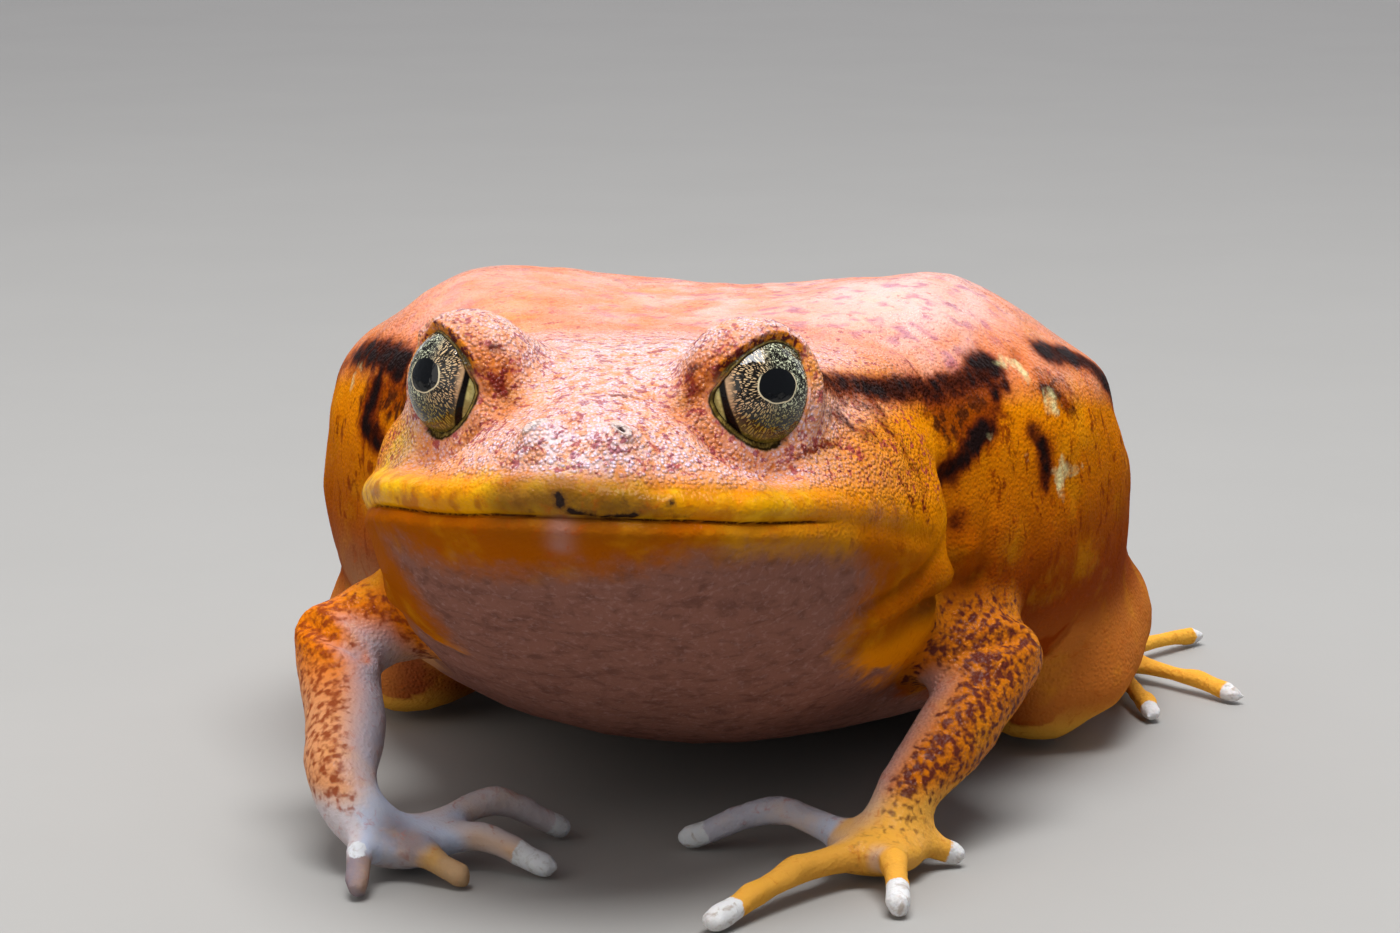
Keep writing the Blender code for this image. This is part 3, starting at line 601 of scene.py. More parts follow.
# The broad tones, laid one over the other, each with how fully it covers.
WASHES = (
    (flank_yellow, np.ones(len(at))),
    # The flanks darken towards the bottom. This is partly their own red-brown and partly painted shade on the
    # down-facing side.
    (flank_brown_and_shade, fall(z, 13, 32) * ramp(y, 22, 30)),
    (cheek_orange, fall(y, 25, 31)),
    (back_orange, top * ramp(y, 10, 22)),
    (head_pink, face_top * fall(y, 20, 32) * (0.9 - 0.35 * ramp(side_x, 10, 15))),
    # A painted highlight: the wet gloss on the snout between the nostrils.
    (snout_gloss_highlight, 0.8 * dab(at, ((-1.6, 1.9, 31.6), (1.2, 1.7, 31.4)), 1.5)),
    (back_edge_orange, 0.8 * ramp(side_x, 19, 24) * ramp(y, 38, 46) * top),
    # A painted sheen: pale pink glare over the humps, strongest on the left one.
    (hump_sheen_pink, (0.1 + 0.7 * ramp(x, -5, 10)) * hump),
    (before_eye_orange, 0.95 * before_eye),
    (behind_eye_orange, 0.9 * behind_eye),
    (eye_corner_cream, 0.7 * dab(mirrored, ((5.7, 9.6, 32.5), (6.3, 9.3, 31.4)), 0.9)),
    # Painted shade in the fold between flank and upper arm.
    (armpit_shade, 0.55 * dab(mirrored, ((22.0, 32.3, 16.4), (23.5, 34.7, 15.2), (24.7, 39.5, 13.3)), 2.6)),
    (roll_orange, dab(mirrored, SHOULDER_ROLL, 1.6)),
    # Painted shadow under the shoulder roll.
    (under_roll_shadow, 0.75 * dab(mirrored, BELOW_ROLL, 1.5)),
    # Painted shade in the crease below the shoulder roll.
    (roll_crease_shade, 0.7 * dab(mirrored, ROLL_CREASES[1], 0.6)),
    (low_flank_tan, 0.6 * fall(z, 10, 15) * ramp(y, 30, 36) * (x > 0) * (1 - on_arm) * (out[:, 2] > -0.6)),
    (lip_yellow * (1 - 0.22 * ramp(x, 2, 8))[:, None], upper_lip),
    (lip_ochre, 0.75 * upper_lip * ramp(lip_waves, 0.05, 0.5)),
    (lip_bright, 0.6 * upper_lip * ramp(-lip_waves, 0.1, 0.55)),
    (low_lip_orange, low_lip),
    (low_lip_yellow, 0.8 * dab(at, ((9.5, 4.4, 25.2), (12.0, 7.5, 24.6), (14.6, 11.5, 23.8)), 1.6)),
    (lip_shade, 0.9 * dab(at, ((-3.8, 0.4, 28.3), (-0.5, -0.2, 28.4), (4.2, 0.5, 28.2)), 1.8)),
    (lip_orange, 0.6 * upper_lip * (bump(x, 8.2, 2.0) + bump(x, -9.5, 2.2))),
    (lip_corner_yellow, 0.8 * dab(at, ((-13.6, 11.4, 29.6), (-14.4, 13.4, 29.0)), 1.6)),
    (limb_orange, on_arm),
    (knee_orange, on_leg),
    (right_arm_orange, 0.8 * right_arm * ramp(z, 9, 13)),
    # The right forearm's pale pink is partly its own colour and partly a painted sheen.
    (right_arm_pink_and_sheen, 0.5 * right_arm * fall(z, 9, 13)),
    (right_side_sand, 0.5 * (x < 0) * bump(y, 36, 10) * fall(z, 12, 19) * (1 - on_arm)),
    (hand_yellow, on_hand),
    (toe_yellow, on_foot),
    (inner_grey, greyed),
    (right_hand_blue, 0.5 * greyed * (x < 0) * (z < 6)),
    (right_tip_grey, 0.85 * beside(at, ((-15.6, 7.6, 0.9), (-15.7, 8.4, 1.2)), 1.4, 2.2)),
    (right_finger_brown, 0.75 * dab(at, ((-14.3, 12.6, 3.2), (-12.6, 11.6, 2.6)), 1.6)),
    (right_finger_tan, 0.8 * beside(at, ((-9.6, 11.0, 0.9), (-10.6, 11.4, 1.2)), 1.4, 2.4)),
    (chin_mauve, 0.75 * dab(at, ((-0.5, 0.3, 26.4), (-0.6, 0.8, 25.7)), 0.8)),
    (brow_orange, 0.9 * brow_front),
)
tone = np.zeros((len(at), 3))
for wash, share in WASHES:
    tone += (wash - tone) * np.clip(share, 0, 1)[:, None]

# The digits' white tips, each a ball of this radius, and the edges of the throat.
WHITE_TIPS = (
    (2.3, (8.2, 4.4, 0.9)), (2.2, (19.2, 9.6, 0.9)), (1, (21.3, 21.6, 0.9)), (1.6, (3.4, 22.4, 0.9)),
    (2.3, (-4.7, 14.2, 0.9)), (1.3, (-5.6, 23.4, 0.9)), (0.8, (-16.1, 9.3, 3.1)),
    (1.1, (21.2, 66.6, 0.7)), (1.1, (25.4, 62.4, 0.7)), (1.2, (31.6, 61.6, 0.7)), (1.3, (37.5, 68.4, 0.7)),
    (1.1, (33.4, 87.4, 0.7)), (1.1, (-20.9, 66.2, 0.7)), (1.1, (-25.3, 62, 0.7)), (1.2, (-30.3, 61.6, 0.7)),
    (1.2, (-34.6, 65.8, 0.7)), (1.1, (-34.2, 84, 0.7)),
)
LEFT_THROAT = ((-5, 12), (10, 12), (12.3, 12.6), (15.7, 14.4), (19.5, 15.9), (22, 17))
RIGHT_THROAT = ((-5, -10), (10, -10), (14.6, -9.9), (18.1, -11), (21.3, -12.4), (23, -13.4))
LIP_FOOT = (
    (-12.3, 2.2), (-9.2, 3.3), (-4.9, 3.7), (-1, 3.6), (1.5, 3.4), (4.6, 2.8), (7.6, 2), (10.9, 1.85),
    (14, 1.9), (16, 2.3), (17, 3), (19, 4),
)
# How deep each point lies in the mauve of throat, chest and belly. Far out is clear of every marking.
far_out = 4
throat = np.min([-above - along(x, LIP_FOOT), along(z, LEFT_THROAT) - x, x - along(z, RIGHT_THROAT)], axis=0)
throat = np.where(y < 30, throat, -far_out)
chest = np.min([16.5 - z, 19.0 - side_x - 0.3 * z, (-out[:, 2] + 0.1) * 9], axis=0)
belly = (-out[:, 2] - 0.62) * 9 - 8 * on_arm - 8 * on_foot - 8 * (z > 13) - 3 * ramp(side_x, 15, 20)
throat = np.max([throat, np.where((y > 14) & (z > 4), chest - 6 * on_arm, -far_out), belly], axis=0)
on_finger = (y < 28) & (side_x > 2.6) & ((z < 3.6) | ((z < 5.2) & (out[:, 2] > -0.3)))
throat = np.where(on_finger, -far_out, throat)

# Markings, each a stroke of this half width along these points.
DARK_STROKES = (
    (0.3, ((12.9, 15.2, 33.9), (13.3, 16.7, 33.5))),
    (0.55, ((13.3, 16.7, 33.5), (14.1, 20.2, 32.7), (14.9, 21.3, 32.4))),
    (0.75, ((15.1, 21.7, 32.2), (16.3, 24.9, 31.3), (17.4, 29.1, 30.4), (18.5, 30.9, 30.1))),
    (0.6, ((18.5, 30.9, 30.1), (19.7, 33.6, 30.2), (20.4, 35.4, 30.5))),
    (0.95, ((20.7, 36.2, 30.7), (21.4, 37.9, 30.7))),
    (0.25, ((21.9, 37, 29.6), (22, 36.3, 28.5), (22, 35.5, 27.6))),
    (0.7, ((21.8, 34.7, 27.1), (21.2, 33.1, 26.6), (20.5, 31.2, 26), (19.9, 30, 25.3), (19.7, 28.9, 25))),
    (0.4, ((24.3, 38.6, 26.1), (24.6, 38.9, 25.7))),
    (0.55, ((25, 39.3, 25.1), (25.3, 39.2, 23.9), (25.4, 39, 22.9))),
    (0.85, ((24.4, 44.7, 30.8), (25.9, 48.4, 29.9), (26.9, 50.2, 29.1), (28.1, 51.9, 27.8), (28.8, 54, 26.4))),
    (0.8, ((28.2, 60, 24), (27.4, 66, 21))),
    (0.2, ((22.6, 41.3, 30.6),)),
    (0.25, ((22.4, 37.9, 29.4),)),
    (0.28, ((20.3, 30.2, 21.6),)),
    (0.5, ((-12.9, 16.5, 33.8), (-13.5, 19.3, 32.8), (-14.6, 21.9, 31.7))),
    (1, ((-14.6, 21.9, 31.7), (-16, 28.6, 30.7), (-18.1, 32.4, 30.2))),
    (1.1, ((-19, 34.5, 30.3), (-21.3, 39.3, 30), (-23.8, 43.9, 29))),
    (0.9, ((-20.9, 37, 28.4), (-21.8, 36.4, 26.8))),
    (0.75, ((-22, 36.6, 25.8), (-20.8, 33.5, 25), (-20, 31, 24.6))),
    (0.6, ((-24.7, 45.4, 28.5), (-26.5, 48.8, 27))),
    (0.7, ((-27.2, 52, 26), (-28, 58, 23.6), (-27.6, 64, 21))),
)
LIP_STROKES = (
    (0.3, ((-0.55, -0.3, 28.6), (-0.45, -0.3, 28.2))),
    (0.22, ((0.1, -0.1, 27.75), (0.9, 0, 27.55), (1.9, 0.3, 27.5), (3.4, 0.4, 27.4), (4, 0.5, 27.4))),
    (0.16, ((3.3, 0.4, 28.5), (3.5, 0.4, 27.8))),
    (0.1, ((6.2, 1.2, 28.2), (6, 1.2, 27.9))),
    (0.1, ((-2.8, 0.2, 27.6), (-2.2, 0.2, 27.55))),
    (0.06, ((5.2, 0.8, 27.2), (7.2, 1.7, 27))),
    (0.28, ((-13, 11.6, 28.2),)),
)
RUST_STROKES = (
    (2, ((17.2, 30, 29.3), (19, 30.3, 28.4), (20.5, 33.3, 28.3), (21.4, 35.3, 28.7))),
    (0.8, ((13.1, 14, 33.8), (14.3, 19.2, 32.2), (16.1, 21.5, 30.9))),
    (0.9, ((18.2, 29.6, 27.8), (18.7, 30.5, 26.4), (20, 30.2, 25.9))),
    (0.8, ((21.9, 37, 29.6), (22, 36.3, 28.5), (22, 35.5, 27.6))),
    (0.25, ((15, 19.9, 31.5), (17.7, 20.4, 28.9), (19, 21.5, 25.4))),
    (0.8, ((25, 41, 29), (26.2, 44, 27.4))),
    (0.1, ((5.6, 9.6, 35.4), (6.6, 9.2, 34.6), (5.6, 8.8, 33.4), (5.2, 8.4, 32.4))),
    (0.1, ((-6.8, 9.6, 35.4), (-6.2, 8.9, 34), (-5.4, 8.4, 32.6))),
    (2, ((-17.3, 28, 29.4), (-20.2, 33.5, 28.4), (-22, 36.5, 27.4))),
    (0.8, ((-13.4, 17, 32.6), (-15.4, 22.5, 31))),
    (0.5, ((14.3, 14.8, 31.6), (15.6, 17.4, 29.8))),
)
WINE_STROKES = (
    (0.3, ((12.4, 10.4, 29.5), (13.4, 12.6, 29.7), (14.4, 14.4, 29.6))),
    (0.3, ((17.9, 18.4, 26.8), (18.4, 18.9, 25.6), (18.8, 19.3, 24.5))),
    (0.25, ((19, 20.9, 25), (19.3, 21.1, 23.4))),
    (0.42, ((6.2, 9, 33.9), (5.8, 9.2, 33), (5.4, 8.6, 32.2))),
    (0.4, ((6.9, 9.3, 35.2), (6.1, 9.6, 34.4))),
    (0.5, ((-6.4, 8.6, 34.1), (-6, 8.9, 33.1))),
    (0.25, ((-5.4, 8.8, 34.6),)),
    (0.4, ((-13.3, 12.4, 31.2), (-12.2, 10.4, 30.4))),
    (0.35, ((2.6, 8.8, 33.6), (1.2, 7.9, 33.5))),
    (0.4, ((15.2, 18, 26.6), (14.9, 16, 24.8))),
)
CREAM_STROKES = (
    (0.25, ((22.1, 39.1, 31), (22.7, 39.9, 30.7))),
    (0.3, ((23.2, 40.5, 30.4), (23.8, 40.4, 29.6))),
    (0.9, ((25.2, 41.4, 27.6),)),
    (0.15, ((22, 34.5, 26.4),)),
    (0.1, ((24.3, 37.5, 24.7),)),
    (0.32, ((26.3, 41.3, 23.9), (26.3, 40.8, 22.7), (26.3, 40.5, 21.6))),
    (0.1, ((25.9, 40.1, 23.2), (26.8, 41.9, 22.8), (27.5, 43.7, 22.9))),
    (0.5, ((-23.4, 41.4, 28.4), (-23.9, 41.8, 27.2))),
    (0.4, ((-21, 32.4, 25.4), (-20.8, 31.9, 24.6))),
)

# How strongly each finish shows: the pale granule tips, partly painted sheen, the mottling, the arms' blots,
# the back's painted pink sheen and its purple spots, the flanks' dapple, the granules and the moisture.
# Where the face's granules get pale tips. This is partly their own pale colour and partly painted sheen.
pale = face_top * fall(y, 22, 32) + (nearest_eye < 6.8) * brow_share * ramp(past_lid, 0.7, 1.2)
pale = np.clip(pale + 0.8 * bump(y, 8, 8) * ramp(above, 1.8, 3.2), 0, 1)
pale *= (1 - 0.6 * ramp(side_x, 12, 16)) * (1 - 0.85 * before_eye) * (1 - 0.9 * behind_eye)
pale *= (1 - 0.85 * brow_front) * (0.75 + 0.25 * ramp(x, -10, 0))
mottle = 0.8 * ramp(z, 28.5, 31) * fall(y, 20, 34) + 0.35 * top * ramp(y, 18, 34)
mottle = np.maximum(mottle, 0.75 * ramp(above, 2.0, 3.2) * fall(y, 24, 30))
mottle = np.clip(mottle, 0, 1) * (1 - on_arm)
blots = on_arm * (1 - np.clip(1.6 * inward, 0, 1)) * (1 - 0.75 * on_hand)
blots *= 0.55 + 0.45 * bump(out[:, 0] * np.sign(x), 0.15, 0.5)
blots += 0.3 * dab(at, ((24, 29.8, 12.2), (22.7, 26.9, 10.4), (21.3, 24.1, 8.3), (18.6, 19.8, 5.3)), 2.4)
blots = np.clip(blots, 0, 1.5) * (1 - (side_x < 13) * (z < 6.5))
blots *= 1 - 0.9 * dab(at, ((19.6, 27.2, 10.6), (18.5, 24.9, 9.0), (17.2, 22.5, 6.9)), 1.1)
blots = np.maximum(blots, 0.15 * on_leg * (1 - on_foot))
# Over the back, the pink clouds are painted sheen, stronger on the left side. Its purple spots are its own
# markings.
back_sheen_and_spots = 0.9 * top * (1 - 0.9 * behind_eye) * (1 - 0.75 * ramp(side_x, 19, 24))
back_sheen_and_spots *= ramp(y, 26, 34) * (0.4 + 0.6 * ramp(x, -12, 6))
dapple = ramp(y, 30, 34) * ramp(z, 12, 20) * fall(z, 27, 30)
dapple = np.maximum(dapple, 0.5 * fall(y, 24, 30) * ramp(side_x, 14, 16) * ramp(z, 20, 23))
grain = 0.4 + 0.6 * ramp(z, 28, 30.5) * fall(y, 24, 40)
grain = np.maximum(grain, ramp(above, lip_top, lip_top + 0.8) * fall(y, 20, 28))
grain *= 1 - 0.6 * lip * fall(above, lip_top - 0.6, lip_top + 0.3)
grain *= (1 - 0.55 * on_hand - 0.5 * on_foot) * (1 - 0.65 * ramp(throat, -0.5, 0.5))
grain *= np.where(nearest_eye < 6, np.clip(ramp(past_lid, 0.45, 0.9), 0.1 + 0.5 * brow_share, 1), 1)
lip_dew = bump(above, 1.2, 1.0) * fall(y, 14, 20)
wet = 0.04 + 0.8 * np.maximum(top, face_top) + 0.25 * on_arm + 0.5 * lip_dew
wet *= 1 - 0.85 * ramp(strokes(at, DARK_STROKES), -1.2, 0.2)
wine = np.maximum(strokes(at, WINE_STROKES), 0.6 * np.maximum(brow_front, before_eye) - 0.63)
mouth = np.abs(above) + 0.12 * ramp(y, 10, 15) + 0.3 * ramp(x, 13.2, 15.6)
mouth = np.where(fall(y, 22, 26) * ramp(z, 19, 21) > 0, mouth, far_out)
MARKS = {
    "dark": strokes(at, DARK_STROKES), "lip": strokes(at, LIP_STROKES), "rust": strokes(at, RUST_STROKES),
    "cream": strokes(at, CREAM_STROKES), "tips": strokes(at, [(half, (tip,)) for half, tip in WHITE_TIPS]),
    "wine": wine, "throat": throat, "mouth": mouth, "nostril": nostril_slit(at),
    "lid": np.where(nearest_eye < 6.5, past_lid, far_out), "brow": brow_share, "ridge": past_lid - brow_edge,
    "pale": pale, "mottle": mottle, "blots": blots, "rusty": right_arm, "back_sheen_and_spots": back_sheen_and_spots, "dapple": dapple,
    "grain": grain, "wet": wet,
}
for title, values in MARKS.items():
    values = np.clip(values, -far_out, far_out).astype(np.float32)
    hide.attributes.new(title, "FLOAT", "POINT").data.foreach_set("value", values)
tone_on_hide = np.ones((len(at), 4), np.float32)
tone_on_hide[:, :3] = tone
hide.attributes.new("tone", "FLOAT_COLOR", "POINT").data.foreach_set("color", tone_on_hide.ravel())
hide.transform(to_metres)
hide.shade_smooth()


# Skin, its finish. The tones carry a fine net of granules under a film of moisture, which glints where the
# light from above strikes it. On the face the granules' tips are painted pale, partly as painted sheen, and the
# markings are ragged.
class Finish:
    """A material whose nodes are added one after another, and whose colour is laid coat by coat."""

    def __init__(self, name):
        self.material = bpy.data.materials.new(name)
        self.material.use_nodes = True
        self.tree = self.material.node_tree
        self.surface = self.tree.nodes["Principled BSDF"]

    def put(self, socket, value):
        if isinstance(value, bpy.types.NodeSocket):
            self.tree.links.new(value, socket)
        elif hasattr(value, "__len__") and len(value) == 3 and socket.type == "RGBA":
            socket.default_value = (*value, 1)
        else:
            socket.default_value = value

    def dress(self, settings):
        """Sets inputs of the shader, each by a field or by one value for the whole piece."""
        for title, value in settings.items():
            self.put(self.surface.inputs[title], value)

    def add(self, kind, settings=(), **inputs):
        node = self.tree.nodes.new(kind)
        for key, value in dict(settings).items():
            setattr(node, key, value)
        for key, value in inputs.items():
            self.put(node.inputs[key.replace("_", " ")], value)
        return node

    def mark(self, title, kind="Fac"):
        return self.add("ShaderNodeAttribute", {"attribute_name": title}).outputs[kind]

    def math(self, operation, a, b=0.0, c=0.0):
        node = self.add("ShaderNodeMath", {"operation": operation})
        for socket, value in zip(node.inputs, (a, b, c)):
            self.put(socket, value)
        return node.outputs[0]

    def times(self, a, b):
        return self.math("MULTIPLY", a, b)

    def part(self, a, share, rest):
        """This share of a, and the rest added."""
        return self.math("MULTIPLY_ADD", a, share, rest)

    def between(self, value, start, end, low=0.0, high=1.0):
        """Goes smoothly from low at the start to high at the end."""
        node = self.add("ShaderNodeMapRange", {"interpolation_type": "SMOOTHSTEP"})
        limits = {"Value": value, "From Min": start, "From Max": end, "To Min": low, "To Max": high}
        for title, item in limits.items():
            self.put(node.inputs[title], item)
        return node.outputs["Result"]

    def until(self, value, start, end, high=1.0):
        """Full up to the start, and nothing from the end on."""
        return self.between(value, start, end, high, 0.0)

    def blend(self, under, upper, share):
        node = self.add("ShaderNodeMix", {"data_type": "RGBA"})
        for socket, value in (("Factor", share), (6, under), (7, upper)):
            self.put(node.inputs[socket], value)
        return node.outputs[2]

    def lay(self, colour, share):
        """Lays one more coat over the colour so far."""
        self.colour = self.blend(self.colour, colour, share)

    def noise(self, place, scale, detail=3.0, roughness=0.55, distortion=0.0):
        settings = dict(Vector=place, Scale=scale, Detail=detail, Roughness=roughness, Distortion=distortion)
        return self.add("ShaderNodeTexNoise", **settings).outputs["Fac"]

    def stretched(self, place, *scale):
        return self.add("ShaderNodeMapping", Vector=place, Scale=scale).outputs["Vector"]

    def object_place(self, scale):
        return self.stretched(self.add("ShaderNodeTexCoord").outputs["Object"], scale, scale, scale)

    def frayed(self, depth, rough, amount, start, end, high=1.0):
        """Share of a marking, from its depth in millimetres, with an edge torn by a rough field."""
        torn = self.math("ADD", depth, self.part(rough, amount, -0.5 * amount))
        return self.between(torn, start, end, 0.0, high)


warm_yellow, streak_brown = paint(244, 176, 24), paint(172, 70, 4)
granule_lavender, valley_orange = paint(232, 208, 226), paint(214, 124, 10)
back_sheen_pink, back_spot_purple = paint(236, 180, 168), paint(150, 72, 112)
dapple_brown, mottle_wine = paint(122, 44, 6), paint(146, 34, 62)
blot_wine, blot_rust = paint(66, 16, 28), paint(130, 50, 14)
throat_mauve, throat_dark, throat_pale = paint(134, 90, 77), paint(90, 57, 50), paint(170, 132, 124)
tip_white, tip_bone = paint(214, 216, 218), paint(176, 170, 164)
rust_brown, rust_fleck, wine_red = paint(126, 48, 4), paint(34, 16, 12), paint(112, 28, 18)
stripe_rust, stripe_brown = paint(150, 62, 8), paint(78, 26, 12)
ink_brown, ink_black = paint(42, 16, 10), paint(17, 17, 18)
lip_mark_brown, lip_mark_black, mark_cream = paint(92, 58, 26), paint(26, 16, 18), paint(232, 220, 158)
rim_olive, rim_gold, rim_line = paint(88, 70, 26), paint(146, 122, 60), paint(40, 28, 10)
ridge_orange, ridge_wine, margin_olive = paint(206, 118, 18), paint(92, 20, 16), paint(84, 66, 28)
socket_shadow_line, mouth_line_shadow = paint(34, 22, 10), paint(74, 32, 8)
nostril_rim, nostril_slit_shade = paint(206, 196, 190), paint(60, 34, 30)

finish = Finish("Moist granular skin")
lay, blend, between, times, part = finish.lay, finish.blend, finish.between, finish.times, finish.part
mark, frayed, until = finish.mark, finish.frayed, finish.until
in_mm = finish.object_place(1000.0)
finish.colour, grain, pale = mark("tone", "Color"), mark("grain"), mark("pale")


def field(*kind):
    """An irregular field over the hide, by its scale per millimetre, detail, roughness and distortion."""
    return finish.noise(in_mm, *kind)


broad = field(0.22, 4.0, 0.6)
streaky = field(1.1, 4.0, 0.65, 0.6)
speck = field(2.3, 3.0, 0.6, 0.4)
soft = field(0.5, 2.0, 0.5, 0.5)
blob = field(0.95, 2.0, 0.5, 0.3)
torn = part(streaky, 0.6, times(speck, 0.4))
granule = finish.add("ShaderNodeTexVoronoi", Vector=in_mm, Scale=3.4)
knob = until(granule.outputs["Distance"], 0.0, 0.78)
fine = field(5.2, 2.0, 0.6)

# The ground colour, the pale granule tips (partly painted sheen) and orange valleys of the face, the back's
# painted pink sheen and purple spots, and the mottling of flanks, face and arms.
lay(warm_yellow, between(broad, 0.5, 0.75, 0.0, 0.22))
lay(streak_brown, between(streaky, 0.54, 0.74, 0.0, 0.45))
# Pale lavender tips on the granules: partly their own colour, partly painted sheen.
pale_tips_and_sheen = part(between(knob, 0.25, 0.85), 0.6, between(fine, 0.38, 0.6, 0.15, 0.6))
lay(granule_lavender, times(pale, times(pale_tips_and_sheen, 0.95)))
valley = between(part(streaky, 1.4, times(fine, 0.6)), 1.0, 1.15, 0.0, 0.7)
lay(valley_orange, times(pale, valley))
back_sheen_and_spots = mark("back_sheen_and_spots")
clouds = between(field(0.3, 2.0), 0.36, 0.66, 0.25, 0.8)
# Painted sheen: pale pink clouds over the back.
lay(back_sheen_pink, times(back_sheen_and_spots, clouds))
clouds = between(field(0.8, 1.5, 0.45, 0.2), 0.5, 0.74, 0.0, 0.7)
lay(back_spot_purple, times(back_sheen_and_spots, clouds))
upright = finish.noise(finish.stretched(in_mm, 1.0, 1.0, 0.5), 1.0, 3.0, 0.6, 0.3)
lay(dapple_brown, times(between(upright, 0.54, 0.66, 0.0, 0.8), mark("dapple")))
mottle = mark("mottle")
spots = part(mottle, 0.12, part(speck, 0.6, times(blob, 0.4)))
spots = times(between(spots, 0.61, 0.69), between(mottle, 0.1, 0.5))
lay(mottle_wine, times(spots, 0.75))
blots = mark("blots")
round_spots = field(1.9, 1.5, 0.45, 0.2)
spots = part(blots, 0.17, part(round_spots, 0.8, times(speck, 0.2)))
spots = times(between(spots, 0.54, 0.78), between(blots, 0.1, 0.4))
lay(blend(blot_wine, blot_rust, mark("rusty")), times(spots, 0.88))

# Throat and belly, and the white tips of the digits.
ragged = part(torn, 0.4, times(blob, 0.6))
throat = frayed(mark("throat"), ragged, 3.4, -1.3, 1.3)
skin_below = finish.noise(finish.stretched(in_mm, 0.7, 0.7, 1.3), 0.9, 4.0, 0.62, 0.6)
mauve = blend(throat_mauve, throat_dark, between(skin_below, 0.44, 0.7, 0.0, 0.6))
lay(blend(mauve, throat_pale, between(speck, 0.5, 0.75, 0.0, 0.35)), throat)
tip = frayed(mark("tips"), speck, 0.5, -0.05, 0.1)
lay(blend(tip_white, tip_bone, between(streaky, 0.5, 0.7)), times(tip, 0.92))

# The dark stripe and blotches in their rust-brown surroundings, wine-red and cream marks, and marks of the lip.
patchy = part(soft, 0.35, times(blob, 0.65))
rust = frayed(mark("rust"), patchy, 5.0, -0.9, 0.9, 0.9)
lay(rust_brown, rust)
flecks = between(field(0.9, 2.5), 0.46, 0.56, 0.0, 0.85)
lay(rust_fleck, times(rust, flecks))
lay(wine_red, frayed(mark("wine"), torn, 2.2, -0.15, 0.25, 0.9))
dark = mark("dark")
lay(stripe_rust, frayed(dark, patchy, 1.6, -1.3, 0.0, 0.75))
lay(stripe_brown, frayed(dark, patchy, 1.6, -0.7, 0.1, 0.9))
ink = blend(ink_brown, ink_black, between(soft, 0.42, 0.58))
lay(ink, frayed(dark, patchy, 2.4, -0.3, 0.45, 0.92))
lip_mark = mark("lip")
lay(lip_mark_brown, frayed(lip_mark, torn, 1.2, -0.3, 0.05, 0.7))
lay(lip_mark_black, frayed(lip_mark, torn, 0.7, -0.06, 0.08, 0.92))
lay(mark_cream, frayed(mark("cream"), patchy, 2.6, -0.4, 0.4, 0.85))

# Lids, with a dark line between the two rims of the lower one and a painted shadow where the lids meet the
# ball, then the mouth with painted shadow along its line, and the nostrils with painted shade in their slits.
past = mark("lid")
lid_rim = blend(rim_olive, rim_gold, between(speck, 0.42, 0.68))
rim_gap = finish.math("ABSOLUTE", finish.math("SUBTRACT", past, 0.22))
lid_rim = blend(lid_rim, rim_line, until(rim_gap, 0.04, 0.1, 0.9))
low = finish.math("SUBTRACT", 1.0, mark("brow"))
near_rim = part(speck, 0.3, finish.math("SUBTRACT", past, 0.15))
lay(lid_rim, times(low, until(near_rim, 0.22, 0.4)))
ridge_paint = blend(ridge_orange, ridge_wine, between(field(1.6, 2.0), 0.47, 0.56))
brow, ridge = mark("brow"), mark("ridge")
ridge_depth = part(torn, 1.6, finish.math("SUBTRACT", ridge, 0.85))
lay(ridge_paint, times(brow, until(ridge_depth, 0.05, 0.35)))
margin = times(brow, until(ridge, -0.04, 0.06))
lay(blend(lid_rim, margin_olive, 0.35), margin)
# Painted shadow along the gap where the lids meet the eyeball.
lay(socket_shadow_line, until(past, -0.02, 0.07))
# Painted shadow of the upper lip along the mouth's line.
lay(mouth_line_shadow, until(mark("mouth"), 0.02, 0.12, 0.9))
slit = mark("nostril")
lay(nostril_rim, until(slit, 2.0, 2.8, 0.7))
# Painted shade inside the nostril's slit.
lay(nostril_slit_shade, until(slit, 0.7, 1.15, 0.95))

# Relief of the granules, in metres, for the skin and a little deeper for the wet film over it.
skin_relief, film_relief = 0.00014, 0.00015
height = part(streaky, 0.6, times(knob, grain))
height = part(field(6.5, 2.0), 0.2, height)
relief, film = (
    finish.add("ShaderNodeBump", Strength=1.0, Distance=deep, Height=height).outputs["Normal"]
    for deep in (skin_relief, film_relief)
)
finish.dress({
    "Base Color": finish.colour, "Roughness": between(speck, 0.3, 0.7, 0.36, 0.5), "Normal": relief,
    "Coat Normal": film, "Coat Weight": times(mark("wet"), between(soft, 0.3, 0.65, 0.6, 1.0)),
    "IOR": 1.36, "Specular IOR Level": 0.0, "Coat Roughness": 0.08, "Coat IOR": 1.34,
    "Subsurface Weight": 0.07, "Subsurface Radius": (1.0, 0.35, 0.15), "Subsurface Scale": 0.0008,
})
hide.materials.clear()
hide.materials.append(finish.material)
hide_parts(*[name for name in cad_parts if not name.startswith("eye")])
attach(skin, "root")

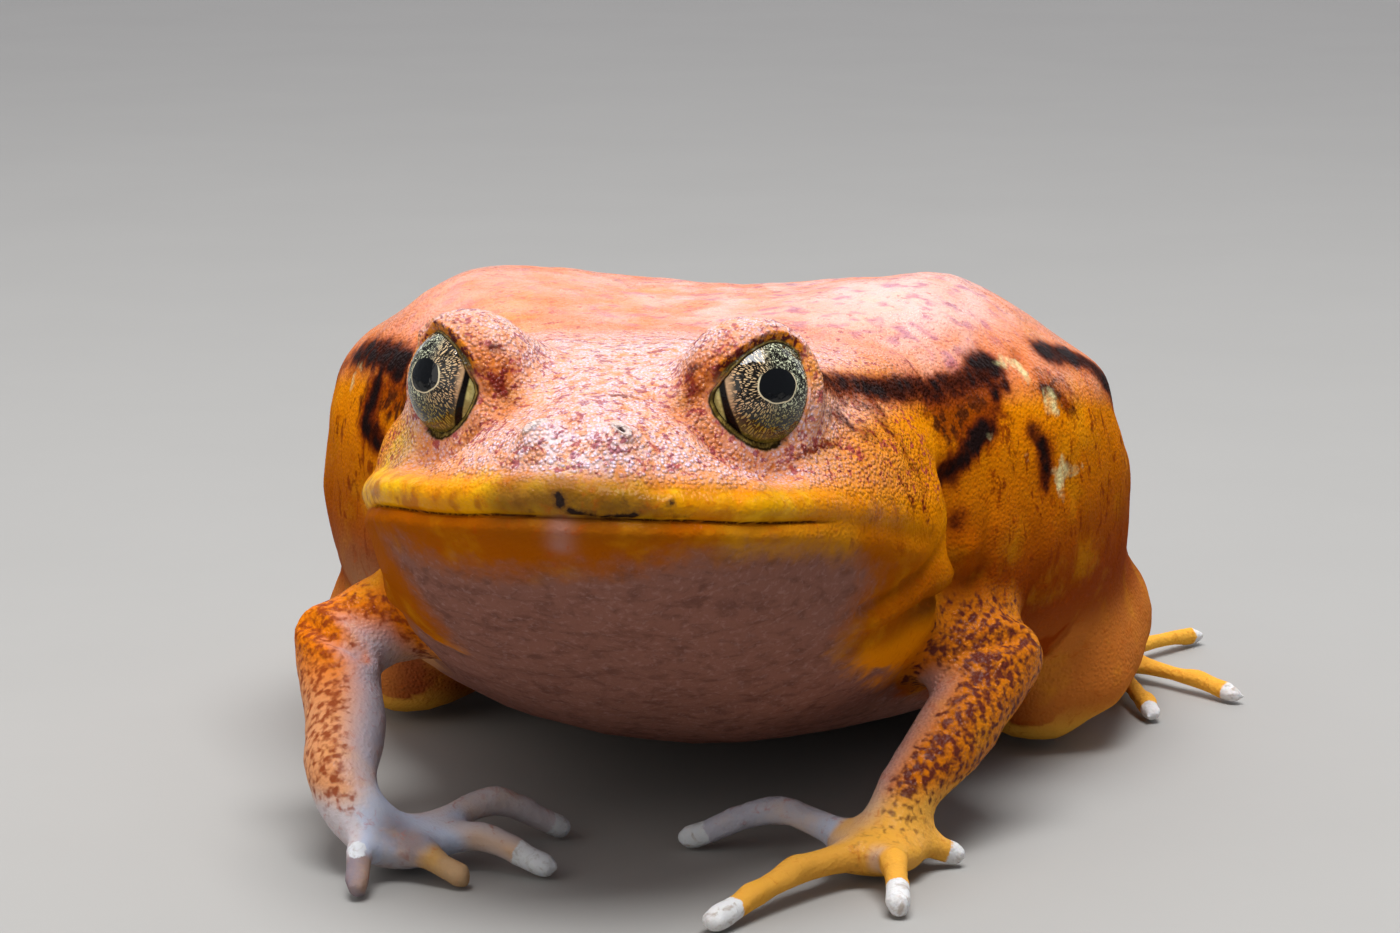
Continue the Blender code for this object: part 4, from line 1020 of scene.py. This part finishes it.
# Eyes. Each eyeball is a ball of 7.8 mm and a piece of its own, round which the lids close. Its bronze iris
# is netted in black under a clear, wet film, and its round pupil has a thin pale rim. At its front lies a
# dark crescent, partly painted shade of the fold there, before the pale corner.
iris_pale, iris_tan, iris_front = paint(204, 206, 172), paint(208, 176, 132), paint(190, 146, 104)
iris_low, iris_edge, net_brown = paint(146, 134, 52), paint(84, 76, 30), paint(20, 14, 8)
pupil_ring, pupil_black = paint(222, 206, 168), (0.001, 0.001, 0.0015)
crescent_dark_and_shade, corner_pale, corner_olive = paint(14, 8, 7), paint(198, 186, 114), paint(160, 146, 82)
ball_back = paint(70, 60, 34)
pupil_radius = 1.16
crescent_start, corner_start = 2.99, 3.28
right_eye_nearer = 0.32
iris = Finish("Bronze iris under a clear cornea")
local = iris.mark("gaze", "Vector")
split = iris.add("ShaderNodeSeparateXYZ", Vector=local)
ahead, upward, outward_mm = (split.outputs[axis] for axis in "XYZ")
flat = iris.add("ShaderNodeCombineXYZ", X=ahead, Y=upward).outputs[0]


def vector_math(operation, a, **other):
    node = iris.add("ShaderNodeVectorMath", {"operation": operation})
    iris.put(node.inputs[0], a)
    for key, value in other.items():
        iris.put(node.inputs["Scale" if key == "scale" else 1], value)
    return node.outputs["Value"] if operation == "LENGTH" else node.outputs[0]


def net_of(place, scale):
    """Distance from the nearest thread of a net."""
    threads = iris.add("ShaderNodeTexVoronoi", {"feature": "DISTANCE_TO_EDGE"}, Vector=place, Scale=scale)
    return threads.outputs["Distance"]


# Threads that run outward from the pupil at the front, and an even net behind.
radius = vector_math("LENGTH", flat)
ray = vector_math("NORMALIZE", flat)
waver = iris.part(iris.noise(local, 1.8, 2.0), 0.8, radius)
waver = iris.add("ShaderNodeCombineXYZ", Z=waver).outputs[0]
lines = net_of(vector_math("ADD", vector_math("SCALE", ray, scale=4.8), b=waver), 3.3)
stir = iris.add("ShaderNodeCombineXYZ", X=iris.noise(local, 4.0), Y=iris.noise(local, 4.6)).outputs[0]
net = net_of(vector_math("ADD", local, b=stir), 3.8)
forward = iris.between(ahead, -0.2, 0.9)
iris.colour = iris.blend(iris_pale, iris_tan, forward)
iris.lay(iris_front, iris.between(ahead, 2.0, 2.6, 0.0, 0.75))
iris.lay(iris_low, iris.between(upward, -0.9, -2.4))
inked = iris.blend(iris.until(net, 0.15, 0.25), iris.until(lines, 0.14, 0.24), forward)
clear_rim = iris.times(iris.between(ahead, 2.5, 2.95, 1.0, 0.2), iris.between(radius, 2.7, 3.5, 1.0, 0.5))
iris.lay(net_brown, iris.times(inked, clear_rim))
iris.lay(iris_edge, iris.between(radius, 3.0, 3.6, 0.0, 0.85))

# The pupil with its ring, the crescent with its painted shade, the corner, and the plain back of the ball.
pupil_reach = vector_math("LENGTH", vector_math("MULTIPLY", flat, b=(0.9, 1.07, 1.0)))
pupil_edge = iris.part(iris.noise(ray, 1.3, 1.0), 0.2, pupil_radius - 0.1)
to_pupil = iris.math("SUBTRACT", pupil_reach, pupil_edge)
iris.lay(pupil_ring, iris.times(iris.until(to_pupil, 0.07, 0.11, 0.9), iris.between(upward, 0.9, 0.5)))
iris.lay(pupil_black, iris.until(to_pupil, -0.015, 0.02))
from_axis = iris.math("SUBTRACT", upward, 0.2)
bend = iris.times(from_axis, from_axis)
crescent = iris.math("SUBTRACT", ahead, iris.part(bend, -0.12, crescent_start))
in_crescent = iris.between(crescent, -0.05, 0.06)
# The crescent is partly dark in its own right and partly painted shade of the fold at the eye's front.
iris.lay(crescent_dark_and_shade, in_crescent)
corner = iris.math("SUBTRACT", ahead, iris.part(bend, -0.09, corner_start))
corner_paint = iris.blend(corner_pale, corner_olive, iris.between(iris.noise(local, 2.0), 0.4, 0.6))
iris.lay(corner_paint, iris.between(corner, -0.04, 0.06))
iris.lay(ball_back, iris.until(outward_mm, 0.2, 0.9))
tear_relief = 0.00008
tear_film = iris.add("ShaderNodeBump", Strength=1.0, Distance=tear_relief, Height=iris.noise(local, 1.4, 2.0))
in_crescent = iris.times(in_crescent, iris.until(corner, -0.04, 0.06))
iris.dress({
    "Base Color": iris.colour, "Roughness": 0.5, "Specular IOR Level": 0.0,
    "Coat Normal": tear_film.outputs["Normal"], "Coat Weight": iris.between(in_crescent, 0.0, 1.0, 1.0, 0.25),
    "Coat Roughness": 0.025, "Coat IOR": 1.5,
})

for side, node in ((1, "eye_left"), (-1, "eye_right")):
    middle, front, up, gaze = eye_frame(side)
    bm = bmesh.new()
    bmesh.ops.create_uvsphere(bm, u_segments=96, v_segments=64, radius=eye_radius)
    bmesh.ops.rotate(bm, matrix=gaze.to_track_quat("Z", "Y").to_matrix(), verts=bm.verts)
    eyeball = mesh_of(bm, node + "ball")
    at = points_of(eyeball)
    from_gaze = (at @ np.array([front, up, gaze]).T).astype(np.float32)
    if side < 0:
        # In the right eye the crescent and the corner lie nearer the pupil.
        from_gaze[:, 0] += right_eye_nearer * ramp(from_gaze[:, 0], 1.4, 2.6)
    eyeball.attributes.new("gaze", "FLOAT_VECTOR", "POINT").data.foreach_set("vector", from_gaze.ravel())
    set_points(eyeball, at + np.array(middle))
    eyeball.transform(to_metres)
    eyeball.shade_smooth()
    eyeball.materials.append(iris.material)
    eye = new_object(node + "ball", eyeball)
    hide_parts(node)
    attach(eye, "root")

# Studio. A plain pale floor, broad soft lights above, behind and in front like a bright overcast sky, a
# smaller bright pane that glints on wet skin and eyes, and the photograph's view.
floor_tone = paint(160, 157, 152)
floor_half = 3.0
bm = bmesh.new()
bmesh.ops.create_grid(bm, x_segments=2, y_segments=2, size=floor_half)
ground = mesh_of(bm, "floor")
floor = new_object("floor", ground)
plaster = Finish("Pale matt floor")
cloud = plaster.noise(plaster.object_place(30.0), 1.0, 4.0)
plaster.dress({"Base Color": plaster.blend(floor_tone, floor_tone * 0.93, cloud), "Roughness": 0.8})
ground.materials.append(plaster.material)

sky = bpy.data.worlds.new("Soft sky")
bpy.context.scene.world = sky
sky.use_nodes = True
sky_light = sky.node_tree.nodes["Background"].inputs
sky_light["Color"].default_value = (0.80, 0.88, 1.0, 1)
sky_light["Strength"].default_value = 0.22
# Each light's place, the point it faces, its size, power in watts and colour.
LIGHTS = (
    ("overhead", (-0.2, 0.1, 0.6), (0, 0.02, 0), (0.8, 0.8), 1.0, (0.97, 0.97, 1.0)),
    ("behind", (0.0, 0.85, 0.42), (0, 0, 0.03), (1.5, 0.8), 3.6, (0.96, 0.95, 1.0)),
    ("pane", (0.05, -0.12, 0.58), (0.01, -0.02, 0.03), (0.4, 0.32), 5.0, (0.95, 0.97, 1.0)),
    ("front_fill", (-0.55, -0.8, 0.42), (0, -0.02, 0.02), (1.2, 0.9), 3.2, (1.0, 0.97, 0.92)),
)
for title, place, target, size, power, colour in LIGHTS:
    lamp = bpy.data.lights.new(title, "AREA")
    lamp.shape = "RECTANGLE"
    lamp.size, lamp.size_y = size
    lamp.energy = power
    lamp.color = colour
    light = new_object(title, lamp)
    light.location = place
    light.rotation_euler = (Vector(target) - Vector(place)).to_track_quat("-Z", "Y").to_euler()
    light.visible_camera = False

# The view turns towards the animal's right and drops, from a place ahead of it and to its left.
view_turn, view_drop = math.radians(9.98), math.radians(11.09)
lens_pixels, picture_width, film_width = 4176, 1400, 36
camera = new_object("camera", bpy.data.cameras.new("camera"))
camera.location = to_metres @ Vector((50.8, -242.8, 79.0))
level = math.cos(view_drop)
look = Vector((-math.sin(view_turn) * level, math.cos(view_turn) * level, -math.sin(view_drop)))
camera.rotation_euler = look.to_track_quat("-Z", "Y").to_euler()
camera.data.sensor_width = film_width
camera.data.lens = film_width * lens_pixels / picture_width
camera.data.clip_start = 0.005
bpy.context.scene.camera = camera
bpy.context.scene.view_settings.view_transform = "Standard"
